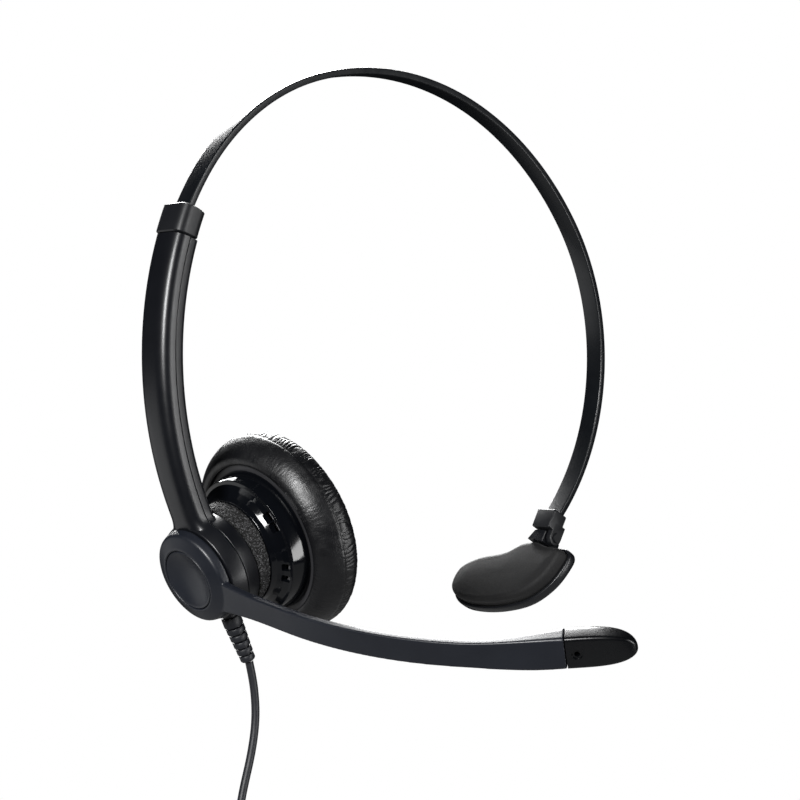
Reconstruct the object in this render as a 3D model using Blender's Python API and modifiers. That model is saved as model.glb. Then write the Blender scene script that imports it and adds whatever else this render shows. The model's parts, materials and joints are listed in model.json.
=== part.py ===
"""Single-ear office headset: a sprung headband, a sliding arm, a rotating microphone boom,
an ear cup on a ball joint, a hinged temple pad, and a cord that ends in a modular plug.

Lengths below are millimetres and angles are degrees; MM turns them into Blender's metres.
The origin is the underside of the band at the crown of the head. +Z is up, +X runs from the
ear cup to the temple pad, and -Y is where the wearer looks.
"""

import math

import bmesh
import bpy
from mathutils import Matrix, Vector

MM = 0.001
GAP = 0.3  # between pieces that touch

# Headband: a flat strip bent in four tangent arcs, all in the XZ plane.
BAND_WIDTH = 6.4
BAND_THICKNESS = 2.0
CROWN_RADIUS = 95.7
SHOULDER_RADIUS = 73.0  # towards the ear cup
SLIDE_RADIUS = 85.0  # the stretch that slides in the arm
TEMPLE_RADIUS = 72.4
SHOULDER_ANGLE = 106.0  # where each arc ends, from +X towards +Z
SLIDE_ANGLE = 147.0
TAIL_ANGLE = 178.0
TEMPLE_ANGLE = 35.7
CLAMP_ANGLE = -43.6

# Arm: an arc, then a straight run down to the hub of the boom.
ARM_CENTRE = (20.5, -82.0)
ARM_RADIUS = 100.9
ARM_WIDTH = 11.4
ARM_THICKNESS = 7.2
ARM_WALL = 1.1
ARM_TOP = 161.9
COLLAR_TOP = 157.35
HUB_TILT = 23.8  # the hub's axis leans up by this much on its way to the ear
HUB_DROP = 18.8  # from the end of the arc to the hub's axis
SPLIT = -0.6  # where the arm's outer shell meets its inner cover, outwards from the middle

# Hub, measured along its axis towards the ear. Zero is the inner face of the outer wall.
ARM_LEVEL = 2.3  # the middle of the arm
HUB_OUTER = -1.5
HUB_INNER = 7.6
HUB_RADIUS = 15.0
HUB_BORE = 12.6
AXLE_RADIUS = 3.5

# Boom: a blade on a dished disc, bent towards the mouth.
BOOM_DIP = 12.6  # below level, when it points forwards
BOOM_STRAIGHT = 35.8
BOOM_BEND_RADIUS = 120.8
BOOM_BEND = 36.5
BOOM_LOW = 2.6  # the blade's middle below the disc's centre
BOOM_LEVEL = -3.2
BOOM_FACE = 1.3  # from that level out to the outer face
BLADE_WIDTH = 7.0
BLADE_THICKNESS = 2.0
POD_WIDTH = 8.8
POD_THICKNESS = 7.0
POD_SWELL = 95.0  # where the blade starts to thicken
POD_SEAM = 114.9
BOOM_LENGTH = 132.5
DISC_RADIUS = 13.0
DISH_RADIUS = 8.8

# Ear cup, measured along its own axis from the ball joint.
BALL_LEVEL = 11.8  # along the hub's axis
CUP_TILT = 18.5
RIM_RADIUS = 20.3
RIM_FRONT = 9.4
BAFFLE_RADIUS = 23.5
CUSHION_RADIUS = 28.5
CUSHION_FRONT = 21.8
FOAM_RADIUS = 14.6
VENT_ANGLES = (57.0, 67.0, 108.0, 118.0)  # from the arm, mirrored to the other side

# Temple pad.
CLAMP_CENTRE = (69.9, -132.2)
CLAMP_LEAN = 29.0
CLAMP_SIZE = (6.0, 7.5, 6.0)
PAD_LEAN = 30.0
PAD_CENTRE = (67.3, -138.3)
PIN_PLACE = (1.5, -0.9)  # up and inwards from PAD_CENTRE
PAD_BACK = -4.4  # towards the head
PAD_FACE = 1.8
TRAY_BACK = -6.2
TRAY_FRONT = -2.6
PAD_OUTLINE = (  # (along the head, down) in order round the kidney
    (-9.5, 5.2), (-8.3, 2.6), (-4.5, 2.3), (-1.5, 1.9), (3.0, 0.9), (8.0, 1.9), (14.0, 5.2),
    (24.5, 7.8), (31.0, 11.9), (31.6, 18.6), (25.5, 22.2), (13.0, 22.3), (1.0, 19.2), (-6.3, 13.0),
)  # fmt: skip
NECK_OUTLINE = (  # (up, towards the head) of the bracket from the tray to the pin
    (-0.9, -5.6), (1.2, -5.6), (3.0, -2.7), (3.0, 0.5), (1.9, 2.4), (-0.7, 2.4),
)  # fmt: skip

# Cord.
CORD_RADIUS = 1.15
CORD_LEVEL = 2.6  # along the hub's axis
BOOT_LEAN = 26.8
BOOT_START = 11.0
BOOT_END = 29.6
COIL_CENTRE = (-45.9, 0.0, -229.0)
COIL_RADIUS = 13.2
COIL_BUNDLE = 4.8
TIE_ANGLE = 150.0
CORD_ROUTE = (
    (-50.4, 0.0, -166.6), (-49.8, 0.0, -168.9), (-49.2, 0.0, -171.4), (-48.7, 0.0, -174.0),
    (-48.35, 0.0, -176.7), (-48.15, 0.0, -179.5), (-48.15, 0.0, -182.3), (-48.35, 0.0, -185.1),
    (-48.75, 0.0, -187.9), (-49.3, 0.0, -190.7), (-50.0, 0.0, -193.6), (-50.85, 0.0, -196.6),
    (-51.75, 0.0, -199.6), (-52.6, 0.0, -202.7), (-53.4, 0.0, -205.9), (-54.05, 0.0, -209.1),
    (-54.5, 0.0, -212.3),
)  # fmt: skip
PLUG_SIZE = (7.7, 6.0, 12.3)
PLUG_PLACE = (-16.7, -3.1, -15.5)  # the top of the plug, from the coil's centre

COLOURS = {  # name: (colour, roughness, metallic)
    "black_steel": ((0.02, 0.021, 0.024), 0.3, 0.3),
    "satin_plastic": ((0.03, 0.032, 0.037), 0.42, 0.0),
    "soft_touch": ((0.045, 0.048, 0.056), 0.6, 0.0),
    "gloss_plastic": ((0.008, 0.008, 0.01), 0.08, 0.0),
    "leatherette": ((0.02, 0.02, 0.022), 0.4, 0.0),
    "pad_fabric": ((0.035, 0.034, 0.034), 0.9, 0.0),
    "foam": ((0.02, 0.02, 0.021), 0.95, 0.0),
    "rubber": ((0.035, 0.037, 0.042), 0.6, 0.0),
    "steel": ((0.6, 0.6, 0.62), 0.3, 1.0),
    "gold": ((0.85, 0.62, 0.25), 0.25, 1.0),
    "circuit_board": ((0.02, 0.12, 0.05), 0.5, 0.0),
    "magnet": ((0.12, 0.12, 0.13), 0.4, 0.8),
    "film": ((0.5, 0.48, 0.42), 0.3, 0.0),
    "clear_plastic": ((0.75, 0.78, 0.8), 0.1, 0.0),
    "felt": ((0.03, 0.03, 0.03), 1.0, 0.0),
}


# ---------------------------------------------------------------- frames and paths


def polar(centre, radius, angle):
    """The point of a circle in the XZ plane at an angle from +X towards +Z."""
    turn = math.radians(angle)
    return (centre[0] + radius * math.cos(turn), centre[1] + radius * math.sin(turn))


def tangent_centre(centre, radius, angle, next_radius):
    """The centre of the arc that carries on smoothly from another at an angle."""
    return polar(centre, radius - next_radius, angle)


def arc(centre, radius, start, end, step=4.0):
    count = max(2, math.ceil(abs(end - start) / step) + 1)
    return [polar(centre, radius, start + (end - start) * i / (count - 1)) for i in range(count)]


def axes_frame(origin, x_axis, z_axis):
    """A matrix at a point in millimetres, with its local X and Z along two directions."""
    x, z = Vector(x_axis).normalized(), Vector(z_axis).normalized()
    matrix = Matrix((x, z.cross(x), z)).transposed().to_4x4()
    matrix.translation = Vector(origin) * MM
    return matrix


def shifted(matrix, x=0.0, y=0.0, z=0.0):
    return matrix @ Matrix.Translation(Vector((x, y, z)) * MM)


CROWN_CENTRE = (0.0, BAND_THICKNESS / 2 - CROWN_RADIUS)
SHOULDER_CENTRE = tangent_centre(CROWN_CENTRE, CROWN_RADIUS, SHOULDER_ANGLE, SHOULDER_RADIUS)
SLIDE_CENTRE = tangent_centre(SHOULDER_CENTRE, SHOULDER_RADIUS, SLIDE_ANGLE, SLIDE_RADIUS)
TEMPLE_CENTRE = tangent_centre(CROWN_CENTRE, CROWN_RADIUS, TEMPLE_ANGLE, TEMPLE_RADIUS)

TILT = math.radians(HUB_TILT)
HUB_AXIS = Vector((math.cos(TILT), 0.0, math.sin(TILT)))
ARM_DOWN = Vector((math.sin(TILT), 0.0, -math.cos(TILT)))
ARC_END = polar(ARM_CENTRE, ARM_RADIUS, 180 + HUB_TILT)
HUB_ORIGIN = Vector((ARC_END[0], 0.0, ARC_END[1])) + ARM_DOWN * HUB_DROP - HUB_AXIS * ARM_LEVEL
HUB = axes_frame(HUB_ORIGIN, -ARM_DOWN, HUB_AXIS)  # X up the arm, Y forwards, Z to the ear
BOOM = HUB @ Matrix.Rotation(math.radians(90 + BOOM_DIP), 4, "Z")  # X along it, Y down, Z to the ear
BALL = HUB_ORIGIN + HUB_AXIS * BALL_LEVEL
CUP_AXIS = Vector((math.cos(math.radians(CUP_TILT)), 0.0, math.sin(math.radians(CUP_TILT))))
CUP_UP = Vector((-CUP_AXIS.z, 0.0, CUP_AXIS.x))
CUP = axes_frame(BALL, CUP_UP, CUP_AXIS)  # X up, Y forwards, Z to the ear
BOOT_DOWN = (math.sin(math.radians(BOOT_LEAN)), 0.0, -math.cos(math.radians(BOOT_LEAN)))
BOOT = axes_frame(HUB_ORIGIN + HUB_AXIS * CORD_LEVEL, (0, 1, 0), BOOT_DOWN)  # Z down the cord
PAD_UP = Vector((math.sin(math.radians(PAD_LEAN)), 0.0, math.cos(math.radians(PAD_LEAN))))
PAD_IN = Vector((-PAD_UP.z, 0.0, PAD_UP.x))
PAD = axes_frame((PAD_CENTRE[0], 0.0, PAD_CENTRE[1]), PAD_UP, PAD_IN)  # X up, Y back, Z to the head
CLAMP_UP = Vector((math.sin(math.radians(CLAMP_LEAN)), 0.0, math.cos(math.radians(CLAMP_LEAN))))
CLAMP = axes_frame((CLAMP_CENTRE[0], 0.0, CLAMP_CENTRE[1]), CLAMP_UP, (-CLAMP_UP.z, 0.0, CLAMP_UP.x))
PIN = shifted(PAD, x=PIN_PLACE[0], z=PIN_PLACE[1])


def arm_path(start, past_hub=0.0, outwards=0.0):
    """Points down the arm, from an angle of its arc to a distance past the hub's axis."""
    points = arc(ARM_CENTRE, ARM_RADIUS + outwards, start, 180 + HUB_TILT)
    end = Vector((points[-1][0], 0.0, points[-1][1])) + ARM_DOWN * (HUB_DROP + past_hub)
    return [*points, (end.x, end.z)]


def band_path(start, end):
    """Points along the band's middle, from the tail in the arm round to the temple."""
    arcs = (
        (SLIDE_CENTRE, SLIDE_RADIUS, start, SLIDE_ANGLE),
        (SHOULDER_CENTRE, SHOULDER_RADIUS, SLIDE_ANGLE, SHOULDER_ANGLE),
        (CROWN_CENTRE, CROWN_RADIUS, SHOULDER_ANGLE, TEMPLE_ANGLE),
        (TEMPLE_CENTRE, TEMPLE_RADIUS, TEMPLE_ANGLE, end),
    )
    points = [arc(*arcs[0])[0]]
    for piece in arcs:
        points += arc(*piece)[1:]
    return points


# ---------------------------------------------------------------- making objects


def material(name):
    made = bpy.data.materials.get(name)
    if made is None:
        colour, roughness, metallic = COLOURS[name]
        made = bpy.data.materials.new(name)
        made.use_nodes = True
        shader = made.node_tree.nodes["Principled BSDF"]
        shader.inputs["Base Color"].default_value = (*colour, 1.0)
        shader.inputs["Roughness"].default_value = roughness
        shader.inputs["Metallic"].default_value = metallic
    return made


def add(name, data, matrix, finish=None, parent=None):
    """An object in the headset's collection, or a cutter if it has no finish."""
    made = bpy.data.objects.new(name, data)
    made.matrix_basis = matrix
    if finish is None:
        bpy.data.collections["cutters"].objects.link(made)
        made.hide_render = True
        made.display_type = "WIRE"
        return made
    bpy.data.collections["office_headset"].objects.link(made)
    data.materials.append(material(finish))
    if parent is not None:
        made.parent = parent
        made.matrix_parent_inverse = Matrix(parent["frame"]).inverted()
    return made


def pivot(name, matrix, parent=None):
    """An empty on a joint's axis."""
    made = bpy.data.objects.new(name, None)
    made.matrix_basis = matrix
    made["frame"] = [list(row) for row in matrix]
    made.empty_display_size = 0.01
    bpy.data.collections["office_headset"].objects.link(made)
    if parent is not None:
        made.parent = parent
        made.matrix_parent_inverse = Matrix(parent["frame"]).inverted()
    return made


def mesh_of(name, bm, angle=35.0):
    data = bpy.data.meshes.new(name)
    bm.to_mesh(data)
    bm.free()
    data.shade_smooth()
    data.set_sharp_from_angle(angle=math.radians(angle))
    return data


def turned(name, profile, matrix, finish=None, parent=None, steps=40, ring=False):
    """A solid of revolution about local Z, from (radius, height) points down its outer side."""
    bm = bmesh.new()
    corners = [bm.verts.new((r * MM, 0.0, z * MM)) for r, z in profile]
    for a, b in zip(corners, corners[1:]):
        bm.edges.new((a, b))
    if ring:
        bm.edges.new((corners[-1], corners[0]))
    made = add(name, mesh_of(name, bm), matrix, finish, parent)
    screw = made.modifiers.new("turn", "SCREW")
    screw.steps = screw.render_steps = steps
    screw.use_merge_vertices = True
    screw.merge_threshold = 0.00001
    return made


def cylinder(name, radius, low, high, matrix, finish=None, parent=None, steps=24):
    return turned(name, [(0, high), (radius, high), (radius, low), (0, low)], matrix, finish, parent, steps)


def block(name, low, high, matrix, finish=None, parent=None, bevel=0.0, segments=2):
    """A box between two corners, with its edges rounded."""
    bm = bmesh.new()
    bmesh.ops.create_cube(bm, size=1.0)
    size = [(h - l) * MM for l, h in zip(low, high)]
    middle = [(h + l) / 2 * MM for l, h in zip(low, high)]
    fitted = Matrix.Translation(middle) @ Matrix.Diagonal((*size, 1.0))
    bmesh.ops.transform(bm, matrix=fitted, verts=bm.verts)
    made = add(name, mesh_of(name, bm), matrix, finish, parent)
    if bevel:
        rounded(made, bevel, segments)
    return made


def rounded(made, radius, segments=2):
    bevel = made.modifiers.new("round", "BEVEL")
    bevel.width = radius * MM
    bevel.segments = segments
    bevel.limit_method = "ANGLE"
    bevel.angle_limit = math.radians(40)


def strip(name, path, width, thickness, finish=None, parent=None, edge=0.0, segments=2):
    """A bar that follows a path in the XZ plane, with its width along Y."""
    bm = bmesh.new()
    chain = [bm.verts.new((x * MM, -width / 2 * MM, z * MM)) for x, z in path]
    edges = [bm.edges.new(pair) for pair in zip(chain, chain[1:])]
    grown = bmesh.ops.extrude_edge_only(bm, edges=edges)["geom"]
    far_side = [v for v in grown if isinstance(v, bmesh.types.BMVert)]
    bmesh.ops.translate(bm, vec=(0, width * MM, 0), verts=far_side)
    made = add(name, mesh_of(name, bm), Matrix.Identity(4), finish, parent)
    solid = made.modifiers.new("thicken", "SOLIDIFY")
    solid.thickness = thickness * MM
    solid.offset = 0.0
    if edge:
        rounded(made, edge, segments)
    return made


def section(width, thickness, radius, steps=3):
    """The corners of a rounded rectangle, anticlockwise from its right side."""
    radius = min(radius, width / 2 - 0.01, thickness / 2 - 0.01)
    corners = []
    for quarter, (sx, sy) in enumerate(((1, 1), (-1, 1), (-1, -1), (1, -1))):
        centre = (sx * (width / 2 - radius), sy * (thickness / 2 - radius))
        for i in range(steps + 1):
            angle = math.radians(90 * (quarter + i / steps))
            corners.append((centre[0] + radius * math.cos(angle), centre[1] + radius * math.sin(angle)))
    return corners


def lofted(name, rings, matrix, finish=None, parent=None):
    """A skin over rings with the same number of corners, closed at both ends."""
    bm = bmesh.new()
    loops = [[bm.verts.new(Vector(p) * MM) for p in ring] for ring in rings]
    for a, b in zip(loops, loops[1:]):
        for i in range(len(a)):
            j = (i + 1) % len(a)
            bm.faces.new((a[i], a[j], b[j], b[i]))
    bm.faces.new(list(reversed(loops[0])))
    bm.faces.new(loops[-1])
    bmesh.ops.recalc_face_normals(bm, faces=bm.faces)
    return add(name, mesh_of(name, bm), matrix, finish, parent)


def flat_outline(name, outline, low, high, matrix, finish=None, parent=None):
    """A filled outline between two heights of its frame."""
    shape = bpy.data.curves.new(name, "CURVE")
    shape.dimensions = "2D"
    shape.fill_mode = "BOTH"
    shape.extrude = (high - low) / 2 * MM
    line = shape.splines.new("POLY")
    line.points.add(len(outline) - 1)
    for point, (x, y) in zip(line.points, outline):
        point.co = (x * MM, y * MM, 0.0, 1.0)
    line.use_cyclic_u = True
    guide = bpy.data.objects.new(name + "_outline", shape)
    bpy.data.collections["cutters"].objects.link(guide)
    bpy.context.view_layer.update()
    data = bpy.data.meshes.new_from_object(guide.evaluated_get(bpy.context.evaluated_depsgraph_get()))
    bpy.data.objects.remove(guide)
    bm = bmesh.new()
    bm.from_mesh(data)
    bpy.data.meshes.remove(data)
    bmesh.ops.remove_doubles(bm, verts=bm.verts, dist=0.000001)
    bmesh.ops.recalc_face_normals(bm, faces=bm.faces)
    return add(name, mesh_of(name, bm), shifted(matrix, z=(low + high) / 2), finish, parent)


def tube(name, points, radius, finish, parent):
    shape = bpy.data.curves.new(name, "CURVE")
    shape.dimensions = "3D"
    shape.bevel_depth = radius * MM
    shape.bevel_resolution = 2
    shape.use_fill_caps = True
    line = shape.splines.new("POLY")
    line.points.add(len(points) - 1)
    for point, place in zip(line.points, points):
        point.co = (*(Vector(place) * MM), 1.0)
    return add(name, shape, Matrix.Identity(4), finish, parent)


def boolean(made, others, operation):
    """One Boolean step with all the others at once."""
    group = bpy.data.collections.new(f"{made.name}_{operation.lower()}")
    bpy.data.collections["cutters"].children.link(group)
    for other in others:
        bpy.data.collections["cutters"].objects.unlink(other)
        group.objects.link(other)
    step = made.modifiers.new(operation.lower(), "BOOLEAN")
    step.operand_type = "COLLECTION"
    step.collection = group
    step.operation = operation
    step.solver = "EXACT"


def cut(made, *cutters):
    boolean(made, cutters, "DIFFERENCE")


def join(made, *others):
    boolean(made, others, "UNION")


# ---------------------------------------------------------------- headband and temple pad


def headband(parent):
    path = band_path(TAIL_ANGLE, CLAMP_ANGLE)
    band = strip("headband", path, BAND_WIDTH, BAND_THICKNESS, "black_steel", parent, 0.45)
    tail = arc(SLIDE_CENTRE, SLIDE_RADIUS, TAIL_ANGLE - 1.6, TAIL_ANGLE + 0.4)
    # The tail ends in a T that can't leave the collar.
    join(band, strip("band_tail", tail, BAND_WIDTH + 2.4, BAND_THICKNESS))


def slot_for_band(name, start, end, centre=SLIDE_CENTRE, radius=SLIDE_RADIUS):
    path = arc(centre, radius, start, end, 2.0)
    return strip(name, path, BAND_WIDTH + 2 * GAP, BAND_THICKNESS + 2 * GAP)


def temple_clamp(parent):
    """The moulded end of the band, with one cheek for the pad's hinge."""
    tall, wide, thick = (size / 2 for size in CLAMP_SIZE)
    low, high = (-tall, -wide, -thick), (tall, wide, thick)
    clamp = block("temple_clamp", low, high, CLAMP, "satin_plastic", parent, 0.6)
    cheek_low, cheek_high = -wide, -wide + 1.9
    cheek = axes_frame(PIN.translation / MM, CLAMP_UP, (0, -1, 0))
    join(
        clamp,
        cylinder("cheek_end", 2.4, -cheek_high, -cheek_low, cheek),
        block("cheek_web", (0.0, -2.4, -cheek_high), (4.2, 2.4, -cheek_low), cheek),
    )
    cut(
        clamp,
        slot_for_band("clamp_slot", -36.0, CLAMP_ANGLE - 0.3, TEMPLE_CENTRE, TEMPLE_RADIUS),
        cylinder("cheek_bore", 1.1, -cheek_high - 1, -cheek_low + 1, cheek),
    )
    pin = axes_frame(PIN.translation / MM, CLAMP_UP, (0, -1, 0))
    profile = [(0, 4.6), (1.5, 4.6), (1.6, 4.05), (0.8, 4.05), (0.8, -3.8), (0, -3.8)]
    turned("temple_pin", profile, pin, "steel", parent)


def smooth_loop(corners, steps, grow=0.0):
    """A closed Catmull-Rom curve through corners, grown outwards by a distance."""
    count = len(corners)
    points = []
    for i in range(count):
        p0, p1, p2, p3 = (Vector(corners[(i + k) % count]) for k in (-1, 0, 1, 2))
        for step in range(steps):
            t = step / steps
            second, third = 2 * p0 - 5 * p1 + 4 * p2 - p3, 3 * p1 - p0 - 3 * p2 + p3
            point = 0.5 * (2 * p1 + (p2 - p0) * t + second * t**2 + third * t**3)
            slope = 0.5 * ((p2 - p0) + 2 * second * t + 3 * third * t**2)
            points.append(point + Vector((slope.y, -slope.x)).normalized() * grow)
    return points


def temple_pad(parent):
    """A kidney-shaped pad in a tray that hangs from the clamp's pin."""
    corners = [(-down, along) for along, down in PAD_OUTLINE]
    rim = smooth_loop(corners, 3, 1.2)
    tray = flat_outline("temple_tray", rim, TRAY_BACK, TRAY_FRONT, PAD, "satin_plastic", parent)
    rounded(tray, 0.9)
    across = axes_frame(PAD.translation / MM, PAD_UP, (0, -1, 0))  # X up, Y to the head, Z forwards
    join(tray, flat_outline("tray_neck", NECK_OUTLINE, -4.4, 1.5, across))
    cut(
        tray,
        flat_outline("tray_pocket", smooth_loop(corners, 3, GAP), PAD_BACK - GAP, 4.0, PAD),
        cylinder("knuckle_bore", 1.1, -7.0, 3.0, shifted(across, x=PIN_PLACE[0], y=PIN_PLACE[1])),
    )
    pad = flat_outline("temple_pad", smooth_loop(corners, 3), PAD_BACK, PAD_FACE, PAD, "pad_fabric", parent)
    rounded(pad, 0.8)


# ---------------------------------------------------------------- arm


def hub_solid():
    side = [(13.9, HUB_INNER), (14.4, 7.1), (HUB_RADIUS, 2.9), (13.8, HUB_OUTER)]
    profile = [(0, HUB_INNER), *side, (0, HUB_OUTER)]
    return turned("hub_solid", profile, HUB, steps=48)


SCREW_PLACES = (
    HUB @ Matrix.Translation(Vector((-6.2, 8.6, 0)) * MM),
    HUB @ Matrix.Translation(Vector((-6.2, -8.6, 0)) * MM),
    HUB @ Matrix.Translation(Vector((26.0, 0, 0.3)) * MM),
)
SCREW_LEVELS = (6.2, 6.2, 4.5)  # where the heads sit


def arm(parent):
    """The outer shell and the inner cover, which close round the band and the hub."""
    for name, outer, gap in (("arm_shell", True, GAP / 2), ("arm_cover", False, -GAP / 2)):
        path = arm_path(ARM_TOP, -3.0)
        solid = strip(name, path, ARM_WIDTH, ARM_THICKNESS, "satin_plastic", parent, 2.4, 3)
        join(solid, hub_solid())
        hollow_path = arm_path(ARM_TOP - 4, -5.0)
        inside = (ARM_WIDTH - 2 * ARM_WALL, ARM_THICKNESS - 2 * ARM_WALL)
        hollow = strip("arm_hollow", hollow_path, *inside, edge=0.8)
        cut(solid, hollow, cylinder("hub_bore", HUB_BORE, 0.1, HUB_INNER - 1.4, HUB, steps=48))
        half = 12.0
        past = SPLIT + gap + (-half / 2 if outer else half / 2)
        cutters = [
            strip("other_half", arm_path(ARM_TOP - 5, 20, past), 40, half),
            cylinder("boot_hole", 2.3, BOOT_START - 1, BOOT_START + 8, BOOT),
        ]
        if outer:
            bosses = [cylinder("screw_boss", 1.9, -0.8, 2.6, place, steps=16) for place in SCREW_PLACES]
            join(solid, *bosses)
            cutters.append(cylinder("axle_hole", AXLE_RADIUS + GAP, -3, 3, HUB, steps=40))
        else:
            cutters.append(cylinder("stud_hole", 2.4, 4.0, 9.0, HUB))
            cutters.append(cylinder("lead_hole", 0.8, 5.0, 9.0, shifted(HUB, x=7.0), steps=12))
        for place, level in zip(SCREW_PLACES, SCREW_LEVELS):
            cutters.append(cylinder("screw_pilot", 1.05, 0.2, 12.0, place, steps=16))
            cutters.append(cylinder("screw_seat", 1.8, level, 12.0, place, steps=16))
        cut(solid, *cutters)

    for index, (place, level) in enumerate(zip(SCREW_PLACES, SCREW_LEVELS), 1):
        profile = [(0, 0.9), (1.5, 0.9), (1.5, 0.0), (0.75, -GAP), (0.75, 0.4 - level), (0, 0.4 - level)]
        turned(f"arm_screw_{index}", profile, shifted(place, z=level + GAP), "steel", parent, 16)


def adjuster_collar(parent):
    """The sleeve at the top of the arm that the band slides through."""
    path = arc(ARM_CENTRE, ARM_RADIUS + 0.25, COLLAR_TOP, ARM_TOP - 0.2)
    size = (ARM_WIDTH + 0.4, ARM_THICKNESS + 0.3)
    collar = strip("adjuster_collar", path, *size, "satin_plastic", parent, 2.0, 3)
    spigot = arc(ARM_CENTRE, ARM_RADIUS, ARM_TOP - 1, ARM_TOP + 2.4)
    inside = (ARM_WIDTH - 2 * ARM_WALL - 0.7, ARM_THICKNESS - 2 * ARM_WALL - 0.7)
    join(collar, strip("collar_spigot", spigot, *inside))
    cut(collar, slot_for_band("collar_slot", SLIDE_ANGLE, SLIDE_ANGLE + 24))


def friction_spring(parent):
    """A bowed leaf that presses on the band inside the arm."""
    points = []
    for i in range(9):
        angle = ARM_TOP + 3.0 + i
        bow = 1.5 * math.sin(math.pi * i / 8)
        points.append(polar(ARM_CENTRE, ARM_RADIUS - 2.0 + bow, angle))
    strip("friction_spring", points, 4.0, 0.3, "steel", parent)


def strain_relief(parent):
    """A rubber boot, held by a flange inside the hub, with ribs down to the cord."""
    outer = [(2.7, BOOT_START - 0.6), (2.7, 11.7), (1.95, 11.8), (1.95, 15.5), (2.75, 15.7), (2.75, 18.2)]
    ribs, pitch = 5, 2.2
    for i in range(ribs):
        low = 18.6 + i * pitch
        radius = 2.65 - 0.13 * i
        outer += [(radius - 0.75, low), (radius - 0.75, low + 0.7)]
        outer += [(radius, low + 1.0), (radius, low + 1.9)]
    outer += [(1.6, BOOT_END)]
    profile = [(0, BOOT_END), *reversed(outer), (0, BOOT_START - 0.6)]
    turned("strain_relief", profile, BOOT, "rubber", parent, 24)


def hub_inside(parent):
    board = block("terminal_board", (-6.5, -5.5, 2.5), (6.5, 5.5, 3.5), HUB, "circuit_board", parent)
    cut(board, cylinder("board_hole", 1.2, 1.0, 5.0, shifted(HUB, x=-3.0), steps=12))
    ball = BALL_LEVEL
    turns = [math.radians(a) for a in range(0, 145, 24)]
    profile = [
        *[(2.4 * math.sin(a), ball + 2.4 * math.cos(a)) for a in turns],
        (1.35, 9.6), (1.35, 8.2), (2.1, 7.9), (2.1, 5.9), (4.0, 5.9), (4.0, 4.4), (0, 4.4),
    ]  # fmt: skip
    turned("ball_stud", profile, HUB, "steel", parent, 24)


def foam_collar(parent):
    """Soft foam that fills the space between the hub and the cup."""
    profile = [(9.0, 16.0), (FOAM_RADIUS, 16.0), (FOAM_RADIUS, HUB_INNER + GAP), (9.0, HUB_INNER + GAP)]
    foam = turned("foam_collar", profile, HUB, "foam", parent, 40, ring=True)
    cut(foam, block("foam_end", (-30, -30, 0.0), (30, 30, 30), CUP))


# ---------------------------------------------------------------- boom and microphone


def boom_ring(length, width, thickness, radius, low=BOOM_LOW):
    """One cross-section of the boom. Its outer face follows the bend; extra thickness goes inwards."""
    bend = math.degrees(max(0.0, length - BOOM_STRAIGHT) / BOOM_BEND_RADIUS)
    bend = math.radians(min(bend, BOOM_BEND))
    curved = BOOM_BEND_RADIUS * bend
    straight = max(0.0, length - BOOM_STRAIGHT - curved)
    along = min(length, BOOM_STRAIGHT) + BOOM_BEND_RADIUS * math.sin(bend) + straight * math.cos(bend)
    inward = BOOM_LEVEL + BOOM_BEND_RADIUS * (1 - math.cos(bend)) + straight * math.sin(bend)
    centre = thickness / 2 - BOOM_FACE
    ring = []
    for across, deep in section(width, thickness, radius):
        offset = deep + centre
        ring.append((along - offset * math.sin(bend), low + across, inward + offset * math.cos(bend)))
    return ring


def ease(value, low, high):
    t = min(max((value - low) / (high - low), 0.0), 1.0)
    return t * t * (3 - 2 * t)


def boom(parent):
    disc = [(0, -1.8), (12.6, -1.8), (DISC_RADIUS, -2.2), (DISC_RADIUS, -3.2), (12.5, -4.4)]
    disc += [(9.9, -5.6), (DISH_RADIUS, -5.6), (DISH_RADIUS, -4.2), (0, -4.2)]
    rings = []
    lengths = [7, 13, 18, 24, 30, 36, 44, 52, 60, 68, 76, 84, 92, 98, 103, 108, 112, POD_SEAM - GAP / 2]
    for length in lengths:
        root = 1 - ease(length, 8, 27)
        pod = max(0.0, (length - POD_SWELL) / (POD_SEAM - POD_SWELL)) ** 1.4
        width = BLADE_WIDTH + 2.5 * root + (POD_WIDTH - BLADE_WIDTH) * ease(length, 84, 110)
        thickness = BLADE_THICKNESS + (POD_THICKNESS - BLADE_THICKNESS) * pod
        rings.append(boom_ring(length, width, thickness, 0.8 + 1.9 * pod, BOOM_LOW))
    blade = lofted("boom", rings, BOOM, "soft_touch", parent)
    join(blade, turned("boom_disc", disc, BOOM, steps=48))
    cut(blade, cylinder("disc_bore", AXLE_RADIUS + GAP, -3.9, 0.0, BOOM, steps=40))
    dish = [(0, -4.6), (8.4, -4.6), (8.4, -5.5), (7.6, -5.3), (4.5, -4.95), (0, -4.9)]
    turned("boom_cap", dish, BOOM, "soft_touch", parent, 48)

    axle = [
        (1.4, 2.1), (AXLE_RADIUS, 2.1), (AXLE_RADIUS, 1.6), (3.0, 1.6), (3.0, 0.9), (AXLE_RADIUS, 0.9),
        (AXLE_RADIUS, -3.6), (1.4, -3.6),
    ]  # fmt: skip
    turned("boom_axle", axle, HUB, "satin_plastic", parent, 40, ring=True)
    washer = [(3.9, 0.6), (5.8, 0.6), (5.8, 0.3), (3.9, 0.3)]
    turned("axle_washer", washer, HUB, "steel", parent, 32, ring=True)
    ring = [(3.15, 1.45), (5.2, 1.45), (5.2, 1.0), (3.15, 1.0)]
    clip = turned("axle_clip", ring, HUB, "steel", parent, 32, ring=True)
    cut(clip, block("clip_mouth", (2.0, -1.4, 0.5), (7.0, 1.4, 2.0), HUB))


def pod_frame(length):
    """A frame at the middle of the pod: X along it, Y down, Z inwards."""
    ring = boom_ring(length, POD_WIDTH, POD_THICKNESS, 2.5)
    centre = sum((Vector(p) for p in ring), Vector()) / len(ring)
    bend = math.radians(BOOM_BEND)
    return shifted(BOOM, *centre) @ Matrix.Rotation(-bend, 4, "Y")


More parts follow.
